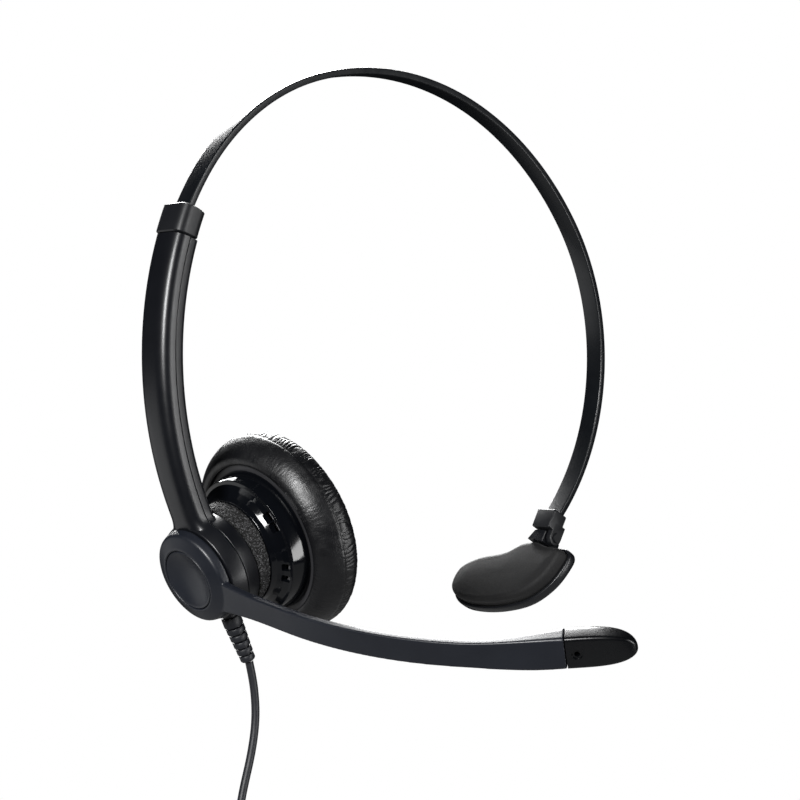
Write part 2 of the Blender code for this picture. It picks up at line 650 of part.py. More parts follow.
def microphone(parent):
    """The pod at the boom's end, with the capsule in a rubber sleeve behind its sound hole."""
    middle = POD_THICKNESS / 2 - BOOM_FACE
    bend = math.radians(BOOM_BEND)
    start, end = POD_SEAM + GAP / 2, BOOM_LENGTH
    rings = []
    for length in (start, 118, 121, 124, 126.5, 128.5, 130, 131.2, 132, end):
        taper = (1 - ((length - start) / (end + 0.15 - start)) ** 2.6) ** 0.6
        lift = middle * (1 - taper)
        ring = boom_ring(length, POD_WIDTH * taper, POD_THICKNESS * taper, 2.8 * taper)
        rings.append([(x - lift * math.sin(bend), y, z + lift * math.cos(bend)) for x, y, z in ring])
    pod = lofted("mic_pod", rings, BOOM, "gloss_plastic", parent)
    seat = pod_frame(POD_SEAM + 5.0)
    cut(
        pod,
        block("pod_hollow", (-8.0, -2.8, -2.2), (3.6, 2.8, 2.2), seat),
        cylinder("sound_hole", 1.0, -6.0, 0.0, shifted(seat, x=-2.0, y=0.3), steps=20),
    )
    capsule = shifted(seat, x=-0.6)
    sleeve = [(2.15, 0.9), (2.5, 0.9), (2.5, -0.9), (2.15, -0.9)]
    turned("mic_sleeve", sleeve, capsule, "rubber", parent, 24, ring=True)
    cylinder("mic_capsule", 1.85, -0.8, 0.8, capsule, "steel", parent, 24)
    cylinder("mic_felt", 1.7, -1.6, -1.2, capsule, "felt", parent, 20)


# ---------------------------------------------------------------- ear cup


def ball_bush(parent):
    """The split liner between the ball and the cup's socket."""
    outer = [polar((0, 0), 3.5, angle) for angle in range(50, -31, -16)]
    inner = [polar((0, 0), 2.7, angle) for angle in range(-30, 51, 16)]
    turned("ball_bush", [*outer, *inner], CUP, "satin_plastic", parent, 24, ring=True)


def cup(parent):
    profile = [
        (19.0, RIM_FRONT), (RIM_RADIUS, RIM_FRONT), (RIM_RADIUS, 4.3), (19.9, 3.9), (18.6, 3.7),
        (16.8, 2.9), (15.4, 1.5), (14.8, 0.3), (5.2, 0.3), (5.0, -2.5), (2.86, -2.5), (3.5, -1.48),
        (3.8, 0.0), (3.5, 1.48), (2.86, 2.5), (2.86, 3.3), (5.2, 3.3), (5.4, 1.7), (13.9, 1.7),
        (14.6, 2.9), (16.6, 4.4), (19.0, 5.2),
    ]  # fmt: skip
    shell = turned("cup_shell", profile, CUP, "gloss_plastic", parent, 48, ring=True)
    holes = [cylinder("cup_lead_hole", 1.3, -1.0, 3.0, shifted(CUP, x=7.0), steps=12)]
    for angle in VENT_ANGLES:
        for side in (1, -1):
            turn = CUP @ Matrix.Rotation(math.radians(side * angle), 4, "Z")
            holes.append(block("vent_cutter", (16.7, -1.25, 0.0), (18.7, 1.25, 8.0), turn))
    cut(shell, *holes)
    screen = [(16.6, 5.2), (19.0 - GAP, 6.0), (19.0 - GAP, 5.7), (16.6, 4.9)]
    turned("vent_screen", screen, CUP, "felt", parent, 48, ring=True)


def speaker(parent):
    low, high = RIM_FRONT + GAP, 10.9
    baffle = cylinder("speaker_baffle", BAFFLE_RADIUS, low, high, CUP, "satin_plastic", parent, 48)
    holes = []
    for count, radius in ((1, 0.0), (6, 3.6), (12, 7.2)):
        for i in range(count):
            turn = CUP @ Matrix.Rotation(2 * math.pi * (i + 0.3) / count, 4, "Z")
            holes.append(cylinder("grille_hole", 0.85, 8.0, 12.0, shifted(turn, x=radius), steps=10))
    cut(baffle, *holes)
    frame = [
        (13.0, 9.4), (14.5, 9.4), (14.5, 8.2), (10.6, 6.6),
        (7.2, 6.6), (7.2, 7.4), (10.3, 7.4), (13.0, 8.8),
    ]  # fmt: skip
    turned("speaker_frame", frame, CUP, "satin_plastic", parent, 40, ring=True)
    cylinder("speaker_magnet", 6.8, 4.0, 7.2, CUP, "magnet", parent, 32)
    film = [(0, 8.7), (5.5, 8.5), (6.2, 8.1), (9.5, 8.5), (12.6, 9.2)]
    film += [(12.6, 9.0), (9.5, 8.2), (6.2, 7.8), (5.5, 8.2), (0, 8.4)]
    turned("speaker_diaphragm", film, CUP, "film", parent, 32)
    cylinder("grille_cloth", 11.6, 11.2, 11.6, CUP, "felt", parent, 40)


def ear_cushion(parent):
    """A stuffed ring whose back lip hooks over the baffle."""
    profile = [
        (18.0, CUSHION_FRONT), (23.5, CUSHION_FRONT), (26.6, 20.9), (27.9, 19.0),
        (CUSHION_RADIUS, 15.5), (27.6, 12.2), (25.4, 9.6), (22.6, 8.6), (22.0, 8.9),
        (22.2, RIM_FRONT), (BAFFLE_RADIUS + GAP, RIM_FRONT),
        (BAFFLE_RADIUS + GAP, 11.2), (12.8, 11.2), (12.2, 12.6), (12.2, 18.2), (14.2, 20.9),
    ]  # fmt: skip
    turned("ear_cushion", profile, CUP, "leatherette", parent, 48, ring=True)


def speaker_lead(parent):
    """The thin wire from the terminal board through the foam to the speaker."""
    start = shifted(HUB, x=7.0, z=4.2).translation / MM
    middle = shifted(HUB, x=7.0, z=8.0).translation / MM
    end = shifted(CUP, x=7.1, z=3.0).translation / MM
    points = [start.lerp(middle, i / 3) for i in range(3)] + [middle.lerp(end, i / 3) for i in range(4)]
    tube("speaker_lead", points, 0.45, "rubber", parent)


# ---------------------------------------------------------------- cord


def cord(parent):
    """The cord's free stretch, its coil with a tie, and the plug that hangs from the coil."""
    tube("cord", CORD_ROUTE, CORD_RADIUS, "rubber", parent)
    coil_frame = axes_frame(COIL_CENTRE, (1, 0, 0), (0, -1, 0))
    bundle = [
        (COIL_RADIUS + COIL_BUNDLE * math.cos(math.radians(a)), COIL_BUNDLE * math.sin(math.radians(a)))
        for a in range(75, -286, -30)
    ][:-1]
    turned("cord_coil", bundle, coil_frame, "rubber", parent, 40, ring=True)

    tie_turn = math.radians(TIE_ANGLE)
    outwards = Vector((math.cos(tie_turn), 0.0, math.sin(tie_turn)))
    tie = axes_frame(Vector(COIL_CENTRE) + outwards * COIL_RADIUS, outwards, (-outwards.z, 0.0, outwards.x))
    inner, outer = COIL_BUNDLE + 0.45, COIL_BUNDLE + 1.25
    loop = [(inner, 2.5), (outer, 2.5), (outer, -2.5), (inner, -2.5)]
    turned("cord_tie", loop, tie, "felt", parent, 24, ring=True)

    wide, thick, tall = PLUG_SIZE
    plug = axes_frame(Vector(COIL_CENTRE) + Vector(PLUG_PLACE), (1, 0, 0), (0, 0, 1))  # Z up the cord
    low, high = (-wide / 2, -thick / 2, -tall), (wide / 2, thick / 2, 0.0)
    body = block("plug_body", low, high, plug, "clear_plastic", parent, 0.4, 1)
    latch = block("plug_latch", (-1.6, -thick / 2 - 2.2, -tall + 0.9), (1.6, -thick / 2 - 1.4, -1.2), plug)
    foot_low, foot_high = (-1.6, -thick / 2 - 1.8, -tall + 0.9), (1.6, -thick / 2 + 0.5, -tall + 1.9)
    foot = block("latch_foot", foot_low, foot_high, plug)
    join(body, latch, foot)
    pitch = 1.02
    pockets = []
    for index in range(4):
        x = (index - 1.5) * pitch
        blade = (x - 0.13, thick / 2 - 2.6, -tall + 0.6), (x + 0.13, thick / 2 - 0.5, -tall + 3.6)
        pocket = (x - 0.4, thick / 2 - 2.9, -tall - 1.0), (x + 0.4, thick / 2 + 1.0, -tall + 3.9)
        pockets.append(block("contact_pocket", *pocket, plug))
        block(f"plug_contact_{index + 1}", *blade, plug, "gold", parent)
    cut(body, *pockets)


# ---------------------------------------------------------------- the whole headset


def main():
    for old in list(bpy.data.objects):
        bpy.data.objects.remove(old)
    for name in ("office_headset", "cutters"):
        bpy.context.scene.collection.children.link(bpy.data.collections.new(name))

    slide = axes_frame((SLIDE_CENTRE[0], 0.0, SLIDE_CENTRE[1]), (1, 0, 0), (0, 0, 1))
    arm_pivot = pivot("arm_pivot", slide)
    boom_pivot = pivot("boom_pivot", HUB, arm_pivot)
    tilt_pivot = pivot("cup_tilt_pivot", CUP, arm_pivot)
    cup_pivot = pivot("cup_swivel_pivot", CUP, tilt_pivot)
    pad_pivot = pivot("pad_pivot", PIN)

    headband(None)
    temple_clamp(None)
    temple_pad(pad_pivot)
    arm(arm_pivot)
    adjuster_collar(arm_pivot)
    friction_spring(arm_pivot)
    strain_relief(arm_pivot)
    hub_inside(arm_pivot)
    foam_collar(arm_pivot)
    speaker_lead(arm_pivot)
    boom(boom_pivot)
    microphone(boom_pivot)
    ball_bush(tilt_pivot)
    cup(cup_pivot)
    speaker(cup_pivot)
    ear_cushion(cup_pivot)
    cord(arm_pivot)
    bpy.context.view_layer.update()


main()
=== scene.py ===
"""Looks of the single-ear office headset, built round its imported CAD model.

Lengths are millimetres, which MM turns into metres. Angles are degrees.
"""

import json
import math

import bmesh
import bpy
from mathutils import Matrix, Vector, noise

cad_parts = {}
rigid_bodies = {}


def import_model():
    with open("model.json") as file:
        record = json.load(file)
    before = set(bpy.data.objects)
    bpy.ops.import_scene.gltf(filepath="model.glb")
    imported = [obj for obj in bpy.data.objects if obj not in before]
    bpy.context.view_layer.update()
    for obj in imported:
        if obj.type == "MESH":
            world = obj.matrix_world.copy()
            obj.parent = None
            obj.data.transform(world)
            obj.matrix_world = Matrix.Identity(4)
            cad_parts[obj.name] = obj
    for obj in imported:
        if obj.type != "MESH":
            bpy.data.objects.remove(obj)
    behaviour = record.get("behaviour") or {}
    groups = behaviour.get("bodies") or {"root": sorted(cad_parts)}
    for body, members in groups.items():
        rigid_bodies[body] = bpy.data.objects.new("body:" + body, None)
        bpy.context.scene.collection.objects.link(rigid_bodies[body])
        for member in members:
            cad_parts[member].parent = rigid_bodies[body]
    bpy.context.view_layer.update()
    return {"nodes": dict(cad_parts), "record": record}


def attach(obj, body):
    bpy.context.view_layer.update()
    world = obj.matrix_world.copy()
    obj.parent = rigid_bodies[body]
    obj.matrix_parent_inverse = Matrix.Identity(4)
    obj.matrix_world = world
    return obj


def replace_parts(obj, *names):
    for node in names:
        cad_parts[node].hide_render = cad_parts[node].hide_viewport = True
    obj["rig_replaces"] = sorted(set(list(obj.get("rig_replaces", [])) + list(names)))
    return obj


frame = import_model()
MM = 0.001

# ---------------------------------------------------------------- the CAD model's measures

BAND_WIDTH = 6.4
BAND_THICKNESS = 2.0
CROWN_RADIUS = 95.7
SHOULDER_RADIUS = 73.0  # towards the ear cup
SLIDE_RADIUS = 85.0  # the stretch that slides in the arm
TEMPLE_RADIUS = 72.4
SHOULDER_ANGLE = 106.0
SLIDE_ANGLE = 147.0
TAIL_ANGLE = 178.0
TEMPLE_ANGLE = 35.7
CLAMP_ANGLE = -43.6
ARM_CENTRE = (20.5, -82.0)
ARM_RADIUS = 100.9
ARM_WIDTH = 11.4
ARM_THICKNESS = 7.2
ARM_TOP = 161.9
COLLAR_TOP = 157.1
HUB_TILT = 23.8
HUB_DROP = 18.8
ARM_LEVEL = 2.3
BOOM_DIP = 12.6  # below level, when it points forwards
BOOM_STRAIGHT = 35.8
BOOM_BEND_RADIUS = 120.8
BOOM_BEND = 36.5
BOOM_LOW = 2.6  # the blade's middle below the disc's centre
BOOM_LEVEL = -3.2
BOOM_FACE = 1.3  # from that level out to the outer face
POD_SWELL = 95.0
POD_SEAM = 114.9
BOOM_LENGTH = 132.5
BALL_LEVEL = 11.8
CUP_TILT = 18.5
CLAMP_CENTRE = (69.9, -132.2)
CLAMP_LEAN = 29.0
PAD_LEAN = 30.0
PAD_CENTRE = (67.3, -138.3)
PIN_PLACE = (1.5, -0.9)
PAD_OUTLINE = (
    (-9.5, 5.2), (-8.3, 2.6), (-4.5, 2.3), (-1.5, 1.9), (3.0, 0.9), (8.0, 1.9), (14.0, 5.2), (24.5, 7.8),
    (31.0, 11.9), (31.6, 18.6), (25.5, 22.2), (13.0, 22.3), (1.0, 19.2), (-6.3, 13.0),
)  # fmt: skip
CORD_RADIUS = 1.15
CORD_LEVEL = 2.6  # along the hub's axis
BOOT_LEAN = 26.8
BOOT_END = 29.6
COIL_CENTRE = (-45.9, 0.0, -229.0)
COIL_RADIUS = 13.2
TIE_ANGLE = 150.0
PLUG_PLACE = (-16.7, -3.1, -15.5)
CORD_ROUTE = (
    (-50.4, 0.0, -166.6), (-49.8, 0.0, -168.9), (-49.2, 0.0, -171.4), (-48.7, 0.0, -174.0),
    (-48.35, 0.0, -176.7), (-48.15, 0.0, -179.5), (-48.15, 0.0, -182.3), (-48.35, 0.0, -185.1),
    (-48.75, 0.0, -187.9), (-49.3, 0.0, -190.7), (-50.0, 0.0, -193.6), (-50.85, 0.0, -196.6),
    (-51.75, 0.0, -199.6), (-52.6, 0.0, -202.7), (-53.4, 0.0, -205.9),
)  # fmt: skip

# ---------------------------------------------------------------- measures of the looks alone

PART_GAP = 0.09  # half the line between the arm's two halves
ARM_SPLIT = -0.6  # where that line lies, outwards from the arm's middle
ARM_PROUD = (0.12, 0.25)  # how far the outer half stands out: sideways and outwards
ARM_DOME = 3.2  # the power of the superellipse of the arm's outer face
HUB_FILLET = 6.0  # between the arm's sides and the hub
HUB_CORNER = 14.1
HUB_SPLIT = ARM_LEVEL - ARM_SPLIT  # the same line, along the hub's axis
COLLAR_PROUD = (0.4, 0.3)  # wider and thicker than the arm
COLLAR_SHIFT = 0.25
COLLAR_CHAMFER = 0.35
SLOT_ROOM = 0.7  # round the band, over both sides
BLADE_SIZE = (7.1, 2.1)
POD_GROWTH = (1.9, 5.0)  # from the blade to the pod
BLADE_ROOT = 2.6  # how much wider the blade is where it leaves the disc
POD_GAP = 0.12  # half the line between the blade and the pod
DISH_RADIUS = 8.1
DISH_RIM = -5.57
DISH_DEPTH = 1.72
FOAM_OUTSIDE = 14.45
FOAM_INSIDE = 9.0
FOAM_BASE = 7.85  # along the hub's axis
BOOT_RADIUS = 2.77
RIB_START = 18.35
RIB_SHRINK = 0.13
RIB_PITCH = 2.2
RIB_GROOVE = 0.5
RIBS = 5
TIE_INSIDE = 5.25
TIE_OUTSIDE = 6.05
TIE_WIDTH = 5.0
TIE_EDGE = 0.25
CORD_LEAD_IN = ((-53.95, 0.6, -208.9), (-54.6, 1.7, -212.0))  # sideways into the coil's first turn
COIL_JOIN = 122.0  # where the cord meets the coil, as an angle on the coil's ring
COIL_PITCH = 2.36  # from turn to turn, outwards
COIL_COLUMN = 2.04  # from column to column, along the coil's axis
COIL_SHIFT = 290.0  # from here on a turn moves over to the next place
COIL_STEP = 12.0
TARGET = Vector((6.26, 0.0, -94.35)) * MM  # what the camera and the lamps look at

# ---------------------------------------------------------------- frames and paths


def heading(angle):
    """The direction at an angle in the XZ plane, from X towards Z."""
    turn = math.radians(angle)
    return Vector((math.cos(turn), 0.0, math.sin(turn)))


def leaning(angle):
    """Straight up, leant by an angle towards X."""
    turn = math.radians(angle)
    return Vector((math.sin(turn), 0.0, math.cos(turn)))


def quarter_turn(direction):
    """A direction in the XZ plane, turned by a right angle from X towards Z."""
    return Vector((-direction.z, 0.0, direction.x))


def in_plane(point):
    """A place given by its X and Z, in the plane of the band."""
    return Vector((point[0], 0.0, point[1]))


def polar(centre, radius, angle):
    """The X and Z of a point on a circle."""
    turn = math.radians(angle)
    return (centre[0] + radius * math.cos(turn), centre[1] + radius * math.sin(turn))


def axes_frame(origin, x_axis, z_axis):
    """A frame at a place in millimetres. Its Y axis follows from the other two."""
    x, z = Vector(x_axis).normalized(), Vector(z_axis).normalized()
    matrix = Matrix((x, z.cross(x), z)).transposed().to_4x4()
    matrix.translation = Vector(origin) * MM
    return matrix


def shifted(matrix, x=0.0, y=0.0, z=0.0):
    return matrix @ Matrix.Translation(Vector((x, y, z)) * MM)


CROWN_CENTRE = (0.0, BAND_THICKNESS / 2 - CROWN_RADIUS)
SHOULDER_CENTRE = polar(CROWN_CENTRE, CROWN_RADIUS - SHOULDER_RADIUS, SHOULDER_ANGLE)
SLIDE_CENTRE = polar(SHOULDER_CENTRE, SHOULDER_RADIUS - SLIDE_RADIUS, SLIDE_ANGLE)
TEMPLE_CENTRE = polar(CROWN_CENTRE, CROWN_RADIUS - TEMPLE_RADIUS, TEMPLE_ANGLE)
HUB_AXIS = heading(HUB_TILT)
ARM_DOWN = -quarter_turn(HUB_AXIS)
ARC_FOOT = polar(ARM_CENTRE, ARM_RADIUS, 180 + HUB_TILT)
HUB_ORIGIN = in_plane(ARC_FOOT) + ARM_DOWN * HUB_DROP - HUB_AXIS * ARM_LEVEL
HUB = axes_frame(HUB_ORIGIN, -ARM_DOWN, HUB_AXIS)
BOOM = HUB @ Matrix.Rotation(math.radians(90 + BOOM_DIP), 4, "Z")  # X along it, Y down, Z to the ear
BALL = HUB_ORIGIN + HUB_AXIS * BALL_LEVEL
CUP_AXIS = heading(CUP_TILT)
CUP = axes_frame(BALL, quarter_turn(CUP_AXIS), CUP_AXIS)
BOOT = axes_frame(HUB_ORIGIN + HUB_AXIS * CORD_LEVEL, (0, 1, 0), -leaning(-BOOT_LEAN))  # Z down the cord
PAD_UP = leaning(PAD_LEAN)
PAD = axes_frame(in_plane(PAD_CENTRE), PAD_UP, quarter_turn(PAD_UP))  # Z towards the head
CLAMP_UP = leaning(CLAMP_LEAN)
CLAMP = axes_frame(in_plane(CLAMP_CENTRE), CLAMP_UP, quarter_turn(CLAMP_UP))
PIN = shifted(PAD, x=PIN_PLACE[0], z=PIN_PLACE[1])


def arc_points(centre, radius, start, end, step=1.5):
    """Points of an arc in the XZ plane, each with the direction that faces away from its centre."""
    count = max(2, math.ceil(abs(end - start) / step) + 1)
    found = []
    for i in range(count):
        angle = start + (end - start) * i / (count - 1)
        found.append((in_plane(polar(centre, radius, angle)), heading(angle)))
    return found


def arm_points(start, past_hub=0.0, step=1.5, spacing=1.0):
    """The arm's middle line, from an angle on its arc down the straight run past the hub's centre."""
    points = arc_points(ARM_CENTRE, ARM_RADIUS, start, 180 + HUB_TILT, step)
    length = HUB_DROP + past_hub
    count = math.ceil(length / spacing)
    foot = points[-1][0]
    return points + [(foot + ARM_DOWN * length * (i + 1) / count, -HUB_AXIS) for i in range(count)]


# ---------------------------------------------------------------- meshes


def around(radius, turn, height=0.0):
    """A point round the Z axis. The turn is in radians."""
    return Vector((radius * math.cos(turn), radius * math.sin(turn), height))


def bridge(bm, a, b):
    """Faces between two loops of vertices."""
    for i in range(len(a)):
        j = (i + 1) % len(a)
        bm.faces.new((a[i], a[j], b[j], b[i]))


def mesh_of(name, bm, angle=35.0):
    bmesh.ops.recalc_face_normals(bm, faces=bm.faces)
    data = bpy.data.meshes.new(name)
    bm.to_mesh(data)
    bm.free()
    data.shade_smooth()
    data.set_sharp_from_angle(angle=math.radians(angle))
    return data


def add(name, data, matrix=None):
    made = bpy.data.objects.new(name, data)
    made.matrix_world = matrix or Matrix.Identity(4)
    bpy.context.scene.collection.objects.link(made)
    return made


def lofted(name, rings, matrix=None, angle=35.0, closed=False):
    """A skin over rings of points in millimetres, closed at both ends or joined into a loop."""
    bm = bmesh.new()
    loops = [[bm.verts.new(Vector(p) * MM) for p in ring] for ring in rings]
    for a, b in zip(loops, loops[1:] + (loops[:1] if closed else [])):
        bridge(bm, a, b)
    if not closed:
        bm.faces.new(loops[0])
        bm.faces.new(loops[-1])
    return add(name, mesh_of(name, bm, angle), matrix)


def spun(name, profile, matrix, steps=96, bend=None, angle=35.0):
    """A closed (radius, height) outline turned about local Z. bend may move each point as it is made."""
    bm = bmesh.new()
    rows = []
    for k in range(steps):
        turn = 2 * math.pi * k / steps
        row = []
        for i, (r, z) in enumerate(profile):
            if r < 1e-6 and k:
                row.append(rows[0][i])
                continue
            dr, dz = bend(turn, i, r, z) if bend else (0.0, 0.0)
            row.append(bm.verts.new(around(r + dr, turn, z + dz) * MM))
        rows.append(row)
    count = len(profile)
    for k in range(steps):
        a, b = rows[k], rows[(k + 1) % steps]
        for i in range(count):
            j = (i + 1) % count
            corners = []
            for v in (a[i], a[j], b[j], b[i]):
                if v not in corners:
                    corners.append(v)
            if len(corners) > 2:
                bm.faces.new(corners)
    return add(name, mesh_of(name, bm, angle), matrix)


def rounded(corners, steps=5):
    """A 2D outline of (x, y, corner radius) triples, with each corner eased into a short curve."""
    straight, side_share = math.radians(176), 0.48
    found = []
    for i, (x, y, radius) in enumerate(corners):
        here = Vector((x, y))
        before = Vector(corners[i - 1][:2]) - here
        after = Vector(corners[(i + 1) % len(corners)][:2]) - here
        if radius <= 0 or before.angle(after) > straight:
            found.append(tuple(here))
            continue
        reach = radius / math.tan(before.angle(after) / 2)
        reach = min(reach, before.length * side_share, after.length * side_share)
        p, q = here + before.normalized() * reach, here + after.normalized() * reach
        for k in range(steps + 1):
            t = k / steps
            found.append(tuple(p * (1 - t) ** 2 + here * 2 * t * (1 - t) + q * t**2))
    return found


def rounded_box(width, thickness, radii, steps):
    """A rectangle round the origin. radii go round anticlockwise from its lower left corner."""
    w, t = width / 2, thickness / 2
    places = ((-w, -t), (w, -t), (w, t), (-w, t))
    return rounded([(x, y, radius) for (x, y), radius in zip(places, radii)], steps)


def spline(p0, p1, p2, p3, t):
    """A point on the Catmull-Rom span from p1 to p2, and the slope there."""
    square, cube = 2 * p0 - 5 * p1 + 4 * p2 - p3, 3 * p1 - p0 - 3 * p2 + p3
    point = 0.5 * (2 * p1 + (p2 - p0) * t + square * t**2 + cube * t**3)
    return point, 0.5 * ((p2 - p0) + 2 * square * t + 3 * cube * t**2)


def smooth_open(corners, steps):
    """A smooth curve through points, which may have two or three numbers."""
    points = [Vector(c) for c in corners]
    points = [2 * points[0] - points[1], *points, 2 * points[-1] - points[-2]]
    found = []
    for i in range(1, len(points) - 2):
        found += [spline(*points[i - 1 : i + 3], step / steps)[0] for step in range(steps)]
    found.append(points[-2])
    return found


def smooth_loop(corners, steps, grow=0.0):
    """A smooth loop through 2D points, moved out by grow."""
    count = len(corners)
    points = []
    for i in range(count):
        span = [Vector(corners[(i + k) % count]) for k in (-1, 0, 1, 2)]
        for step in range(steps):
            point, slope = spline(*span, step / steps)
            points.append(point + Vector((slope.y, -slope.x)).normalized() * grow)
    return points


def swept(name, points, section, angle=35.0):
    """A bar along (point, outward direction) pairs. section(i) gives (across, outward) corners at each."""
    rings = []
    for i, (point, out) in enumerate(points):
        rings.append([point + Vector((0.0, across, 0.0)) + out * deep for across, deep in section(i)])
    return lofted(name, rings, angle=angle)


def box(name, low, high, matrix, radius=0.0, steps=4):
    """A box with rounded edges."""
    bm = bmesh.new()
    bmesh.ops.create_cube(bm, size=1.0)
    size = [(h - l) * MM for l, h in zip(low, high)]
    middle = [(h + l) / 2 * MM for l, h in zip(low, high)]
    bmesh.ops.transform(bm, matrix=Matrix.Translation(middle) @ Matrix.Diagonal((*size, 1.0)), verts=bm.verts)
    if radius:
        bmesh.ops.bevel(bm, geom=bm.edges[:], offset=radius * MM, segments=steps, profile=0.5, affect="EDGES")
    return add(name, mesh_of(name, bm), matrix)


def cylinder(name, radius, low, high, matrix, steps=32):
    return spun(name, [(0, high), (radius, high), (radius, low), (0, low)], matrix, steps)


def baked(made):
    """Applies the modifiers, and puts the object's place into its mesh."""
    bpy.context.view_layer.update()
    data = bpy.data.meshes.new_from_object(made.evaluated_get(bpy.context.evaluated_depsgraph_get()))
    made.modifiers.clear()
    made.data = data
    data.transform(made.matrix_world)
    made.matrix_world = Matrix.Identity(4)
    return made


def boolean(made, others, operation, angle=35.0):
    """Cuts the others out of a piece or joins them to it. They are used up."""
    group = bpy.data.collections.new(f"{made.name}_{operation}")
    bpy.context.scene.collection.children.link(group)
    for other in others:
        for home in list(other.users_collection):
            home.objects.unlink(other)
        group.objects.link(other)
    step = made.modifiers.new(operation, "BOOLEAN")
    step.operand_type = "COLLECTION"
    step.collection = group
    step.operation = operation
    step.solver = "EXACT"
    baked(made)
    for other in others:
        bpy.data.objects.remove(other)
    bpy.data.collections.remove(group)
    made.data.shade_smooth()
    made.data.set_sharp_from_angle(angle=math.radians(angle))
    return made


def softened(made, voxel, rounds, angle=60.0):
    """Melts the inner corners of a solid: an even remesh, then a little smoothing."""
    remesh = made.modifiers.new("remesh", "REMESH")
    remesh.mode = "VOXEL"
    remesh.voxel_size = voxel * MM
    remesh.use_smooth_shade = True
    smooth = made.modifiers.new("smooth", "SMOOTH")
    smooth.factor = 0.5
    smooth.iterations = rounds
    baked(made)
    made.data.shade_smooth()
    made.data.set_sharp_from_angle(angle=math.radians(angle))
    return made


def place(made, body, slot_name, material, *nodes):
    """Gives a piece its material and body, and names the CAD nodes that it stands for. slot_name is not used.
    """
    made.data.materials.clear()
    made.data.materials.append(material)
    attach(made, body)
    if nodes:
        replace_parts(made, *nodes)
    return made


def ease(value, low, high):
    """From 0 at low to 1 at high, with a soft start and end."""
    t = min(max((value - low) / (high - low), 0.0), 1.0)
    return t * t * (3 - 2 * t)


# ---------------------------------------------------------------- materials


class Nodes:
    """Shorthand for building one material's node tree."""

    def __init__(self, name):
        self.material = bpy.data.materials.new(name)
        self.material.use_nodes = True
        self.tree = self.material.node_tree
        self.shader = self.tree.nodes["Principled BSDF"]
        self.place = self.add("ShaderNodeTexCoord").outputs["Object"]

    def add(self, kind, inputs=None, **settings):
        node = self.tree.nodes.new(kind)
        for key, value in settings.items():
            setattr(node, key, value)
        for key, value in (inputs or {}).items():
            if isinstance(value, bpy.types.NodeSocket):
                self.tree.links.new(value, node.inputs[key])
            else:
                node.inputs[key].default_value = value
        return node

    def noise(self, scale, detail=3.0, roughness=0.55, vector=None):
        inputs = {"Vector": vector or self.place, "Scale": scale, "Detail": detail, "Roughness": roughness}
        return self.add("ShaderNodeTexNoise", inputs).outputs["Fac"]

    def cells(self, scale, feature="F1", vector=None):
        inputs = {"Vector": vector or self.place, "Scale": scale}
        return self.add("ShaderNodeTexVoronoi", inputs, feature=feature).outputs["Distance"]

    def ramp(self, value, low, high, out_low, out_high):
        inputs = {"Value": value, "From Min": low, "From Max": high, "To Min": out_low, "To Max": out_high}
        return self.add("ShaderNodeMapRange", inputs).outputs["Result"]

    def mix(self, factor, a, b):
        node = self.add("ShaderNodeMix", data_type="RGBA")
        self.tree.links.new(factor, node.inputs["Factor"])
        node.inputs["A"].default_value = (*a, 1.0)
        node.inputs["B"].default_value = (*b, 1.0)
        return node.outputs["Result"]

    def bump(self, height, distance, strength=1.0, under=None):
        inputs = {"Height": height, "Distance": distance * MM, "Strength": strength}
        if under is not None:
            inputs["Normal"] = under
        return self.add("ShaderNodeBump", inputs).outputs["Normal"]

    def cloudy(self, scale, detail, spread, dark, light):
        """A colour that wanders between two others, the more sharply the smaller its spread."""
        share = self.ramp(self.noise(scale, detail), 0.5 - spread, 0.5 + spread, 0.0, 1.0)
        return self.mix(share, dark, light)

    def finish(self, colour=None, rough=None, normal=None, **constants):
        for name, value in (("Base Color", colour), ("Roughness", rough), ("Normal", normal)):
            if value is None:
                continue
            if isinstance(value, bpy.types.NodeSocket):
                self.tree.links.new(value, self.shader.inputs[name])
            else:
                self.shader.inputs[name].default_value = value
        for name, value in constants.items():
            self.shader.inputs[name.replace("_", " ")].default_value = value
        return self.material


def plastic(name, dark, light, rough, spread=0.05, grain=0.0, grain_scale=2500.0, **constants):
    """Moulded plastic: faint cloudiness, uneven gloss and, if asked, a fine spark-eroded grain."""
    n = Nodes(name)
    colour = n.cloudy(60.0, 4.0, 0.15, dark, light)
    smudge = n.noise(140.0, 5.0, 0.65)
    gloss = n.ramp(smudge, 0.3, 0.7, rough - spread, rough + spread)
    normal = n.bump(n.noise(900.0, 2.0), 0.004)
    if grain:
        normal = n.bump(n.noise(grain_scale, 2.0, 0.7), grain, 1.0, normal)
    return n.finish(colour, gloss, normal, **constants)


def leatherette(name):
    n = Nodes(name)
    colour = n.cloudy(90.0, 5.0, 0.2, (0.0026, 0.0027, 0.0034), (0.0050, 0.0052, 0.0061))
    cells = n.cells(1500.0, "DISTANCE_TO_EDGE")
    grain = n.ramp(cells, 0.0, 0.22, 0.0, 1.0)
    gloss = n.ramp(n.noise(260.0, 4.0), 0.3, 0.7, 0.30, 0.46)
    normal = n.bump(n.noise(420.0, 4.0, 0.6), 0.05, 0.6)
    normal = n.bump(grain, 0.02, 0.7, normal)
    return n.finish(colour, gloss, normal, Specular_IOR_Level=0.5)


def foam(name):
    """Open cells with a fine crumb on the walls between them. The colour is painted: near black in the cells'
    depths as painted shade, and grey on the walls and crumb as a painted highlight for the glints on this
    black foam.
    """
    n = Nodes(name)
    pores = n.ramp(n.cells(1900.0), 0.15, 0.6, 1.0, 0.0)
    fine = n.ramp(n.noise(2400.0, 3.0, 0.7), 0.3, 0.7, 0.0, 0.6)
    height = n.add("ShaderNodeMath", {0: pores, 1: fine}, operation="ADD").outputs[0]
    # Painted shade and painted highlight: near black down in the pores, lighter grey on the high walls and
    # crumb.
    colour = n.mix(n.ramp(height, 0.4, 1.3, 0.0, 1.0), (0.0015, 0.0015, 0.0015), (0.130, 0.130, 0.134))
    return n.finish(colour, 0.62, n.bump(height, 0.45), Specular_IOR_Level=0.4)


